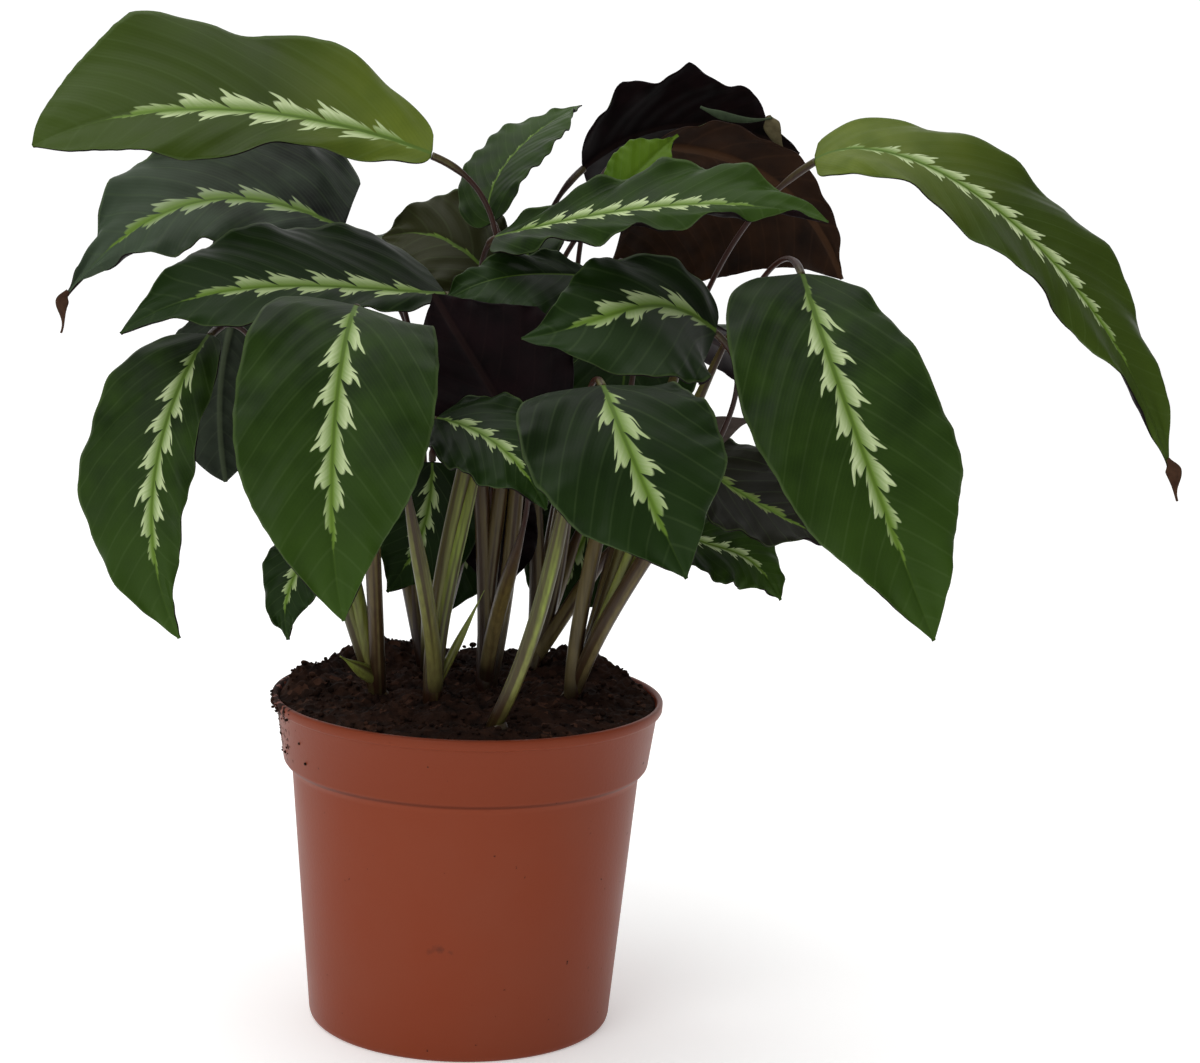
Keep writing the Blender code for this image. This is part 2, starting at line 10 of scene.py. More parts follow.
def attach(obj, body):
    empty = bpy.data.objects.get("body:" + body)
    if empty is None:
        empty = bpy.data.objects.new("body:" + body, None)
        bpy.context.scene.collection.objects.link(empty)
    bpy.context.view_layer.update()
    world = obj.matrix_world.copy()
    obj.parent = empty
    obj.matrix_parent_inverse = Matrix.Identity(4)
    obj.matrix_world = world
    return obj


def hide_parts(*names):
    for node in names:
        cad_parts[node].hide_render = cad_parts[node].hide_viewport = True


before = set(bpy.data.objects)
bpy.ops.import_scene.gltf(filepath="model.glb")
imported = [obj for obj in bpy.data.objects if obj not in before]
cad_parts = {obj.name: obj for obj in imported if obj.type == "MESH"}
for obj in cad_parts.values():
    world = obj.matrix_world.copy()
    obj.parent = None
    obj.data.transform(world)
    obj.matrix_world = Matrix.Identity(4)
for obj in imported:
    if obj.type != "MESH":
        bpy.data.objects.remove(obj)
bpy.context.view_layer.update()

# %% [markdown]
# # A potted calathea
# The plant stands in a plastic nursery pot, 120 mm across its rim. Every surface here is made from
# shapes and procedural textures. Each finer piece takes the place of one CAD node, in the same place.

MM = 0.001

# %% [markdown]
# ## Helpers
# Colours are written as sRGB hex, the way that a colour picker gives them, and turned into the linear
# values that the shader works in. Materials are node trees. They could be wired line by line, but one
# function that adds a node with its links keeps each finish short enough to read in one go.

# %% Colours and shader nodes
MATH = "Math"
STEP = "MapRange"
MIX = "Mix"
NOISE = "TexNoise"
BLEND = {"data_type": "RGBA", "out": 2}
TIMES = {"operation": "MULTIPLY"}
TIMES_PLUS = {"operation": "MULTIPLY_ADD"}
# A STEP takes a value, from low, from high, to low and to high as its inputs 0 to 4. A MIX takes the
# share of the second colour as input 0, and its two colours as inputs 6 and 7.


def linear(hex_colour):
    """An sRGB hex colour as linear RGBA."""
    values = [int(hex_colour[i:i + 2], 16) / 255 for i in (1, 3, 5)]
    return (*[v / 12.92 if v <= 0.04045 else ((v + 0.055) / 1.055) ** 2.4 for v in values], 1.0)


def add(tree, kind, inputs=(), out=0, **settings):
    """Adds a node. inputs are links, constants or hex colours, in the sockets' order or by socket."""
    node = tree.nodes.new("ShaderNode" + kind)
    for key, value in settings.items():
        setattr(node, key, value)
    for key, value in inputs.items() if isinstance(inputs, dict) else enumerate(inputs):
        if isinstance(value, bpy.types.NodeSocket):
            tree.links.new(value, node.inputs[key])
        else:
            node.inputs[key].default_value = linear(value) if isinstance(value, str) else value
    return node.outputs[out] if node.outputs else None


def scale_for(size, unit=1000.0):
    """The scale of a pattern whose marks are so many mm wide, where one unit of its place is unit mm."""
    return unit / size


def new_material(name, roughness=0.5, ior=1.45, specular=0.5):
    """A material, what adds nodes to it, and its shader. specular scales how strongly it mirrors."""
    material = bpy.data.materials.new(name)
    material.use_nodes = True
    tree = material.node_tree
    tree.nodes.clear()
    shader = add(tree, "BsdfPrincipled",
                 {"Roughness": roughness, "IOR": ior, "Specular IOR Level": specular}).node
    add(tree, "OutputMaterial", {"Surface": shader.outputs[0]})
    return material, partial(add, tree), shader


def dress(node, shader, colour, height, strength, depth, gloss=None):
    """Gives the shader its colour, a relief from a height map that is depth mm deep, and roughness."""
    relief = node("Bump", {"Strength": strength, "Distance": depth * MM, "Height": height})
    for socket, link in (("Base Color", colour), ("Normal", relief), ("Roughness", gloss)):
        if link:
            shader.id_data.links.new(link, shader.inputs[socket])


print("terracotta as linear RGB:", [round(v, 3) for v in linear("#803921")[:3]])

# %% [markdown]
# ## Pieces
# What is shown here is finer than the CAD, and takes its place. A piece could be joined to the rest, but
# a mesh for each leaf and tuft keeps them apart, so each one rides on the part and replaces one CAD node.

# %% Pieces
def new_mesh(name, points, faces, smooth=False):
    mesh = bpy.data.meshes.new(name)
    mesh.from_pydata(points, [], faces)
    if smooth:
        mesh.shade_smooth()
    return mesh


def new_object(name, data, *materials):
    """An object in the scene, for a mesh with its materials, or for a camera or a light."""
    obj = bpy.data.objects.new(name, data)
    bpy.context.scene.collection.objects.link(obj)
    for material in materials:
        data.materials.append(material)
    return obj


def piece(name, mesh, node, slot, *materials):
    """A shown piece that rides on the part in place of a CAD node."""
    obj = new_object(name, mesh, *materials)
    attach(obj, "root")
    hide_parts(node)
    return obj


def smoothstep(low, high, value):
    x = np.clip((value - low) / (high - low), 0.0, 1.0)
    return x * x * (3 - 2 * x)


def unit(vectors):
    return vectors / np.linalg.norm(vectors, axis=-1, keepdims=True)


def ring_angles(count):
    return np.linspace(0, 2 * math.pi, count, endpoint=False)


print("halfway up a smooth step:", smoothstep(0, 1, 0.5))

# %% [markdown]
# ## Camera
# The photo was taken with a long lens from a little above the pot's rim. A camera could be turned by
# hand until it looks right. Here its place and its three angles were fitted to the rim, collar and foot
# of the pot instead, because they are circles of known size.

# %% Camera
CAMERA_PLACE = Vector((0.0, -0.8292, 0.2970))
FOCAL_LENGTH = 82.84
SENSOR_WIDTH = 36.0
PAN, PITCH, ROLL = 0.0467, 0.171, 0.0372
forward = Vector((math.sin(PAN) * math.cos(PITCH), math.cos(PAN) * math.cos(PITCH), -math.sin(PITCH)))
right = forward.cross(Vector((0, 0, 1))).normalized()
up = right.cross(forward)
rolled_right = right * math.cos(ROLL) + up * math.sin(ROLL)
rolled_up = up * math.cos(ROLL) - right * math.sin(ROLL)
axes = Matrix((rolled_right, rolled_up, -forward)).transposed().to_4x4()
camera = new_object("camera", bpy.data.cameras.new("camera"))
camera.data.lens = FOCAL_LENGTH
camera.data.sensor_width = SENSOR_WIDTH
camera.matrix_world = Matrix.Translation(CAMERA_PLACE) @ axes
bpy.context.scene.camera = camera
bpy.context.scene.view_settings.view_transform = "Standard"
print("camera looks along", [round(v, 3) for v in forward])

# %% [markdown]
# ## Floor and light
# The photo is a studio shot on white with soft light from above. A bright world alone would light the
# leaves from all sides and flatten them. So a pale floor, a lit white panel behind and two large soft
# lights give the same even white, with darker shade under the leaves.

# %% Floor and backdrop
def sheet(name, width, depth, material):
    w, d = width / 2, depth / 2
    corners = [(-w, -d, 0), (w, -d, 0), (w, d, 0), (-w, d, 0)]
    obj = new_object(name, new_mesh(name, corners, [(0, 1, 2, 3)]), material)
    return obj


def glowing(name, colour, strength):
    """White sheeting that is lit from behind as well, as on a photographer's light table."""
    material, _, shader = new_material(name, roughness=0.9)
    shader.inputs["Base Color"].default_value = linear(colour)
    shader.inputs["Emission Color"].default_value = linear("#FFFFFF")
    shader.inputs["Emission Strength"].default_value = strength
    return material


sheet("floor", 8.0, 8.0, glowing("matt_white_light_table", "#F4F4F3", 0.34))
backdrop = sheet("backdrop", 7.0, 4.0, glowing("lit_white_studio_panel", "#000000", 1.05))
backdrop.rotation_euler = (math.radians(90), 0, 0)
backdrop.location = (0, 2.4, 1.6)
print("the backdrop stands", backdrop.location.y, "m behind the pot")

# %% Lights
def soft_light(name, place, target, size, power):
    """A square soft light that faces its target."""
    lamp = bpy.data.lights.new(name, "AREA")
    lamp.shape = "SQUARE"
    lamp.size = size
    lamp.energy = power
    obj = new_object(name, lamp)
    obj.location = place
    obj.rotation_euler = (Vector(target) - Vector(place)).to_track_quat("-Z", "Y").to_euler()


PLANT_MIDDLE = (0, 0, 0.15)
soft_light("top_light", (-0.2, 0.0, 1.7), PLANT_MIDDLE, 1.5, 18)
soft_light("front_light", (-0.9, -1.5, 1.0), PLANT_MIDDLE, 1.1, 11)
world = bpy.data.worlds.new("studio")
world.use_nodes = True
sky = world.node_tree.nodes["Background"]
sky.inputs["Color"].default_value = linear("#FFFFFF")
sky.inputs["Strength"].default_value = 0.30
bpy.context.scene.world = world
print("lights", len(bpy.data.lights))

# %% [markdown]
# ## Pot
# A thin pot, moulded in terracotta-coloured plastic, with a rolled rim, a collar and a foot ring. It
# could be a cylinder with loop cuts, but a pot is round and its wall has few bends, so the CAD profile
# is turned once round the axis in finer steps. Drain holes are drilled with Booleans. The plastic has a
# weak gloss, a fine grain from the mould, and scuffs and soil smears from potting, all as patterns.

# %% Pot values
POT_HEIGHT = 0.1020
RIM_RADIUS = 0.0600
RIM_DEPTH = 0.0034
COLLAR_TOP_RADIUS = 0.0584
COLLAR_FOOT_RADIUS = 0.0561
COLLAR_FOOT_Z = 0.0820
BODY_TOP_RADIUS = 0.0533
BODY_TOP_Z = 0.0790
FOOT_RADIUS = 0.0466
FOOT_RING_WIDTH = 0.0055
FOOT_RING_HEIGHT = 0.0025
FOOT_PAD_RADIUS = 0.0150
RIM_FOOT_Z = POT_HEIGHT - RIM_DEPTH
POT_WALL = 0.0012
POT_STEPS = 160
DRAIN_HOLES = 6
DRAIN_RADIUS = 0.0045
DRAIN_CIRCLE = 0.0290
print("pot in mm:", round(2 * RIM_RADIUS / MM), "across its rim,", round(POT_HEIGHT / MM), "high")

# %% Pot material
# Rubbed marks a few millimetres wide, low on the front: x, z and radius.
SCUFFS = [(-0.0065, 0.0356, 0.0012), (-0.0030, 0.0352, 0.0008), (-0.0090, 0.0350, 0.0004)]


def make_pot_plastic():
    """Moulded polypropylene: a weak gloss, and dull brown flakes where soil has dried on it."""
    name = "terracotta_plastic_moulded_and_scuffed"
    material, node, shader = new_material(name, ior=1.49, specular=0.11)
    place = node("TexCoord", out="Object")
    x, _, z = node("SeparateXYZ", [place]).node.outputs
    # The plastic is unevenly coloured, in clouds about 33 mm wide.
    cloud = node(NOISE, {"Vector": place, "Scale": scale_for(33.3), "Detail": 3.0})
    even = node(STEP, [cloud, 0.35, 0.70])
    colour = node(MIX, {0: even, 6: "#803921", 7: "#803D27"}, **BLEND)
    collar = node(STEP, {0: z, 1: 0.0800, 2: 0.0812, 4: 0.6})
    # Painted shadow lies in the step under the collar, as a dark line about a millimetre high.
    step = node(MATH, [z, COLLAR_FOOT_Z - 0.0012], operation="SUBTRACT")
    step = node(MATH, [step], operation="ABSOLUTE")
    painted_step_shadow = node(STEP, [step, 0.0002, 0.0009, 0.60, 0.0])
    # Flakes of dried soil are a millimetre or two across, and lie on the collar's left side.
    flakes = node(NOISE, {"Vector": place, "Scale": scale_for(2.38), "Detail": 4.0})
    left_side = node(STEP, [x, -0.050, -0.0565])
    high_up = node(STEP, [z, 0.078, 0.099])
    likely = node(MATH, [left_side, high_up], **TIMES)
    likely = node(MATH, [likely, 0.34, flakes], **TIMES_PLUS)
    soiled = node(STEP, [likely, 0.72, 0.78])
    layers = [(collar, "#763520"), (painted_step_shadow, "#451C10"), (soiled, "#2E1A14")]
    for mark_x, mark_z, radius in SCUFFS:
        away = [place, (mark_x, -0.049, mark_z)]
        away = node("VectorMath", away, out="Value", operation="DISTANCE")
        away = node(MATH, [flakes, 0.006, away], **TIMES_PLUS)
        scuff = node(STEP, {0: away, 1: radius + 0.0032, 2: radius + 0.0020, 4: 0.55})
        layers.append((scuff, "#4E2A20"))
    for share, layer in layers:
        colour = node(MIX, {0: share, 6: colour, 7: layer}, **BLEND)
    gloss = node(STEP, [cloud, 0.3, 0.7, 0.38, 0.46])
    gloss = node(MATH, [soiled, 0.4, gloss], **TIMES_PLUS)
    # The mould's grain is finer than a millimetre, and is drawn at about that, so that it shows.
    grain = node(NOISE, {"Vector": place, "Scale": scale_for(1.11), "Detail": 2.0})
    height = node(MATH, [soiled, 1.5, grain], **TIMES_PLUS)
    dress(node, shader, colour, height, 0.20, 0.2, gloss)
    return material


pot_plastic = make_pot_plastic()
print("nodes in the plastic:", len(pot_plastic.node_tree.nodes))

# %% Pot shape
def corner(radius, z, *offsets):
    """Points of a profile round one of its corners, each an offset outward and upward in mm."""
    return [(radius + out * MM, z + rise * MM) for out, rise in offsets]


def inner_wall():
    """The inside of the wall, as (radius, height) from the floor up to the rim."""
    return [
        *corner(FOOT_RADIUS - POT_WALL, FOOT_RING_HEIGHT + POT_WALL, (-0.6, 0)),
        *corner(BODY_TOP_RADIUS - POT_WALL, BODY_TOP_Z, (0, 0)),
        *corner(COLLAR_FOOT_RADIUS - POT_WALL, COLLAR_FOOT_Z, (0, 0.8)),
        *corner(COLLAR_TOP_RADIUS - POT_WALL, RIM_FOOT_Z, (0, 0)),
        *corner(RIM_RADIUS, POT_HEIGHT, (-2.1, -1.2)),
    ]


def pot_profile():
    """Inner floor and wall, a rounded rim, the outside, then the foot ring and the pad in the middle."""
    return [
        (0.0, FOOT_RING_HEIGHT + POT_WALL),
        *inner_wall(),
        *corner(RIM_RADIUS, POT_HEIGHT, (-1.7, -0.3), (-1.3, 0), (-0.6, 0), (-0.2, -0.2), (0, -0.6)),
        *corner(RIM_RADIUS, RIM_FOOT_Z, (-0.1, 0.8), (-0.4, 0.3)),
        *corner(COLLAR_TOP_RADIUS, RIM_FOOT_Z, (0.3, 0), (0, -0.3)),
        *corner(COLLAR_FOOT_RADIUS, COLLAR_FOOT_Z, (0, 0.2), (-0.2, -0.4), (-0.8, -1.2)),
        *corner(BODY_TOP_RADIUS, BODY_TOP_Z, (0.3, 0.4), (0, -1)),
        *corner(FOOT_RADIUS, 0, (0.2, 2.2), (-0.1, 1.1), (-0.5, 0.5), (-1, 0.1), (-1.6, 0)),
        *corner(FOOT_RADIUS - FOOT_RING_WIDTH, 0, (0, 0), (-0.6, FOOT_RING_HEIGHT / MM)),
        *corner(FOOT_PAD_RADIUS, 0, (0.6, FOOT_RING_HEIGHT / MM), (0, 0)),
        (0.0, 0.0),
    ]


def turned(name, profile, steps):
    """A closed mesh from a profile of (radius, height) that starts and ends on the Z axis."""
    angles = ring_angles(steps)
    inner = profile[1:-1]
    points = [(0, 0, profile[0][1]), (0, 0, profile[-1][1])]
    for radius, height in inner:
        points += [(radius * math.cos(a), radius * math.sin(a), height) for a in angles]
    faces = []
    last = 2 + (len(inner) - 1) * steps
    for i in range(steps):
        j = (i + 1) % steps
        faces.append((0, 2 + i, 2 + j))
        faces.append((1, last + j, last + i))
        for row in range(len(inner) - 1):
            low = 2 + row * steps
            faces.append((low + i, low + steps + i, low + steps + j, low + j))
    return new_mesh(name, points, faces)


pot_mesh = turned("nursery_pot", pot_profile(), POT_STEPS)
pot_mesh.shade_smooth()
pot_mesh.set_sharp_from_angle(angle=math.radians(50))
pot = piece("nursery_pot", pot_mesh, "pot", "pot_plastic", pot_plastic)
drill_profile = [(0, 0.012), (DRAIN_RADIUS, 0.012), (DRAIN_RADIUS, -0.005), (0, -0.005)]
for i in range(DRAIN_HOLES):
    angle = 2 * math.pi * (i + 0.5) / DRAIN_HOLES
    drill = new_object(f"drill_{i}", turned(f"drill_{i}", drill_profile, 32))
    drill.location = (DRAIN_CIRCLE * math.cos(angle), DRAIN_CIRCLE * math.sin(angle), 0)
    drill.hide_render = True
    drill.hide_viewport = True
    cut = pot.modifiers.new(f"Drain hole {i}", "BOOLEAN")
    cut.operation = "DIFFERENCE"
    cut.object = drill
print("pot faces", len(pot_mesh.polygons))

# %% [markdown]
# ## Soil
# Dark, moist potting soil, crumbly and matt, with bits of bark. It could be thousands of scattered
# crumbs, but few of them stand free. So the top is one low mound at the CAD's height, with crumbs a few
# millimetres across raised on it by noise, and only the loose ones that catch the light are meshes.

# %% Soil values
SOIL_EDGE_DROP = 0.0012
SOIL_CROWN = 0.0035
SOIL_LUMP = 0.0024
SOIL_LUMP_SIZE = 0.0110
SOIL_GAP = 0.0003
SOIL_RINGS = 84
SOIL_STEPS = 300
CRUMB_HEIGHT = 0.0016
CRUMB_WIDTHS = (0.0030, 0.0014)
BANK_ROUGHNESS = 180
CRUMB_COUNT = 640
HEAPS = [(0.038, 0.036), (-0.030, 0.042), (-0.052, 0.006)]
HEAP_RADIUS = 0.022
HEAP_HEIGHT = 0.0042
BANK_HEIGHT = 0.0034
STUCK_COUNT = 110
print("heaps of soil:", len(HEAPS))

# %% Soil material
def make_soil():
    """Potting soil: near-black brown with paler bits of bark, and hardly any gloss, as it is so rough."""
    material, node, shader = new_material("potting_soil_moist_and_crumbly", roughness=0.95, specular=0.12)
    place = node("TexCoord", out="Object")
    # Grains are about 2 mm wide, and damp and dry patches about 6 mm.
    grains = node("TexVoronoi", {"Vector": place, "Scale": scale_for(2.08)}).node.outputs
    tint = node("SeparateColor", [grains["Color"]])
    cloud = node(NOISE, {"Vector": place, "Scale": scale_for(6.25), "Detail": 5.0})
    patch = node(STEP, [cloud, 0.3, 0.7])
    colour = node(MIX, {0: patch, 6: "#130A07", 7: "#332017"}, **BLEND)
    bark = node(STEP, {0: tint, 1: 0.92, 2: 0.97, 4: 0.55})
    colour = node(MIX, {0: bark, 6: colour, 7: "#54382B"}, **BLEND)
    height = node(MATH, [cloud, 2.0, grains["Distance"]], **TIMES_PLUS)
    dress(node, shader, colour, height, 0.9, 0.6)
    return material


soil_material = make_soil()
print("nodes in the soil:", len(soil_material.node_tree.nodes))

# %% Soil shape
inner_radius = inner_wall()[-1][0]


def soil_height(x, y):
    """The CAD height of the soil: a low mound with lumps, level at the pot's wall."""
    share = min(1.0, math.hypot(x, y) / inner_radius)
    lumps = noise.noise(Vector((x, y, 0.0)) / SOIL_LUMP_SIZE)
    lumps += 0.5 * noise.noise(Vector((x, y, 0.3)) / SOIL_LUMP_SIZE * 2.3)
    mound = SOIL_CROWN * (1 - share ** 2)
    return POT_HEIGHT - SOIL_EDGE_DROP + mound + SOIL_LUMP * lumps * (1 - 0.8 * share ** 4)


def banked_height(x, y):
    """Soil pushed up against the wall at the back, and in a few heaps, down to nothing at the wall."""
    share = min(1.0, math.hypot(x, y) / inner_radius)
    at_back = smoothstep(-0.2, 0.5, y / inner_radius)
    height = BANK_HEIGHT * at_back * smoothstep(0.55, 0.86, share)
    for heap in HEAPS:
        height += HEAP_HEIGHT * (1 - smoothstep(0.0, HEAP_RADIUS, math.dist((x, y), heap)))
    return height * (1 - smoothstep(0.93, 1.0, share))


def crumbly_height(x, y):
    """The soil's height with crumbs of two sizes raised on it, higher ones where it is banked up."""
    coarse = noise.noise(Vector((x, y, 1.0)) / CRUMB_WIDTHS[0])
    fine = noise.noise(Vector((x, y, 2.0)) / CRUMB_WIDTHS[1])
    bank = banked_height(x, y)
    crumbs = CRUMB_HEIGHT * (1 + BANK_ROUGHNESS * bank) * (abs(coarse) - 0.35 + 0.45 * fine)
    return soil_height(x, y) + bank + crumbs


side = [(r - SOIL_GAP, z) for r, z in inner_wall()]
side[0] = (side[0][0], side[0][1] + SOIL_GAP)
edge, edge_height = side[-1][0], POT_HEIGHT - SOIL_EDGE_DROP
side[-1] = (edge, edge_height)
rings = [(edge * i / SOIL_RINGS, edge_height) for i in range(SOIL_RINGS)]
soil_mesh = turned("soil_top", [*rings, *reversed(side), (0.0, side[0][1])], SOIL_STEPS)
for vertex in soil_mesh.vertices:
    if vertex.co.z > edge_height - 0.0001:
        vertex.co.z = crumbly_height(vertex.co.x, vertex.co.y)
soil_mesh.shade_smooth()
piece("soil_top", soil_mesh, "soil", "potting_soil", soil_material)
print("soil faces", len(soil_mesh.polygons))

# %% Loose crumbs
CUBE_FACES = [(0, 1, 3, 2), (4, 6, 7, 5), (0, 4, 5, 1), (2, 3, 7, 6), (0, 2, 6, 4), (1, 5, 7, 3)]
random = np.random.default_rng(7)
points, faces = [], []


def add_crumb(centre, size):
    """Adds a rough lump: a cube with its corners pushed in unevenly, turned any way round."""
    faces.extend([tuple(len(points) + corner for corner in face) for face in CUBE_FACES])
    corners = []
    for u in (-1, 1):
        for v in (-1, 1):
            for w in (-1, 1):
                corners.append(np.array([u, v, 0.8 * w]) * random.uniform(0.45, 0.8) * size / 2)
    turn = random.uniform(0, 2 * math.pi)
    c, s = math.cos(turn), math.sin(turn)
    points.extend(tuple(np.array([c * x - s * y, s * x + c * y, z]) + centre) for x, y, z in corners)


for i in range(CRUMB_COUNT):
    reach = (inner_radius - 0.002) * math.sqrt(random.uniform(0.02, 1.0))
    angle = random.uniform(0, 2 * math.pi)
    x, y = reach * math.cos(angle), reach * math.sin(angle)
    size = random.choice([1.4, 2.0, 2.8, 4.2], p=[0.45, 0.3, 0.18, 0.07]) * MM
    add_crumb((x, y, crumbly_height(x, y) + 0.18 * size), size)
# Soil that has dried on the rim and the collar, on the left side
for i in range(STUCK_COUNT):
    angle = math.radians(random.normal(190, 9))
    size = random.choice([0.9, 1.4, 2.2], p=[0.5, 0.35, 0.15]) * MM
    z = POT_HEIGHT - abs(random.normal(0.0, 0.0075))
    share = (z - COLLAR_FOOT_Z) / (POT_HEIGHT - COLLAR_FOOT_Z)
    reach = COLLAR_FOOT_RADIUS + (COLLAR_TOP_RADIUS - COLLAR_FOOT_RADIUS) * share
    if z > RIM_FOOT_Z:
        reach = RIM_RADIUS
    if z > COLLAR_FOOT_Z:
        add_crumb((reach * math.cos(angle), reach * math.sin(angle), z), size)
crumb_mesh = new_mesh("soil_crumbs", points, faces, smooth=True)
crumbs = piece("soil_crumbs", crumb_mesh, "soil", "potting_soil", soil_material)
rounding = crumbs.modifiers.new("Rounding", "SUBSURF")
rounding.levels = 1
rounding.render_levels = 1
print("crumbs", len(faces) // len(CUBE_FACES))

# %% [markdown]
# ## Leaves: the form
# A calathea leaf is a broad oval on a strong midrib, drawn out to a point, with a waved margin. It could
# be sculpted, but 32 leaves follow one rule better than 32 meshes. So each is described as in the CAD:
# four points on its midrib, how it faces, how wide each half is, how it curls, waves and is cut. A
# closed skin in finer steps, 0.4 mm thick, keeps that form.

# %% Leaf values
BLADE_THICKNESS = 0.0004
RIB_THICKNESS = 0.0018
BASE_HALF_WIDTH = 0.0017
TIP_HALF_WIDTH = 0.0005
TIP_SLENDERNESS = 0.85
RIB_SAMPLES = 161
ROWS = 96
COLUMNS = 40
VEIN_SPACING = 8.5
VEIN_SWEEP = 26.0
VEIN_REACH = 20.0
VEIN_BEND = 1.25
FOLD = 12.0
FULL_HALF_WIDTH = 27.0
MAP_UNIT = 100.0


@dataclass
class Leaf:
    """One leaf, as in the CAD, in mm. A pair of values is for the left and the right half."""

    name: str
    crown: str
    rib: tuple
    face: tuple
    half_width: float | tuple
    widest: float | tuple = 0.42
    curl: float | tuple = 16.0
    wave: float = 1.6
    waves: float = 3.5
    phase: float = 0.0
    drawn: float = 0.42
    shoulder: float = 0.45
    scallop: tuple = (0.0, 0.0)
    lobes: float = 4.0
    lobe_start: float = 0.0
    arrive: float = 0.30
    bow: tuple = (0.0, 0.0, 0.0)
    colour: str = "green"
    marking: float = 1.0


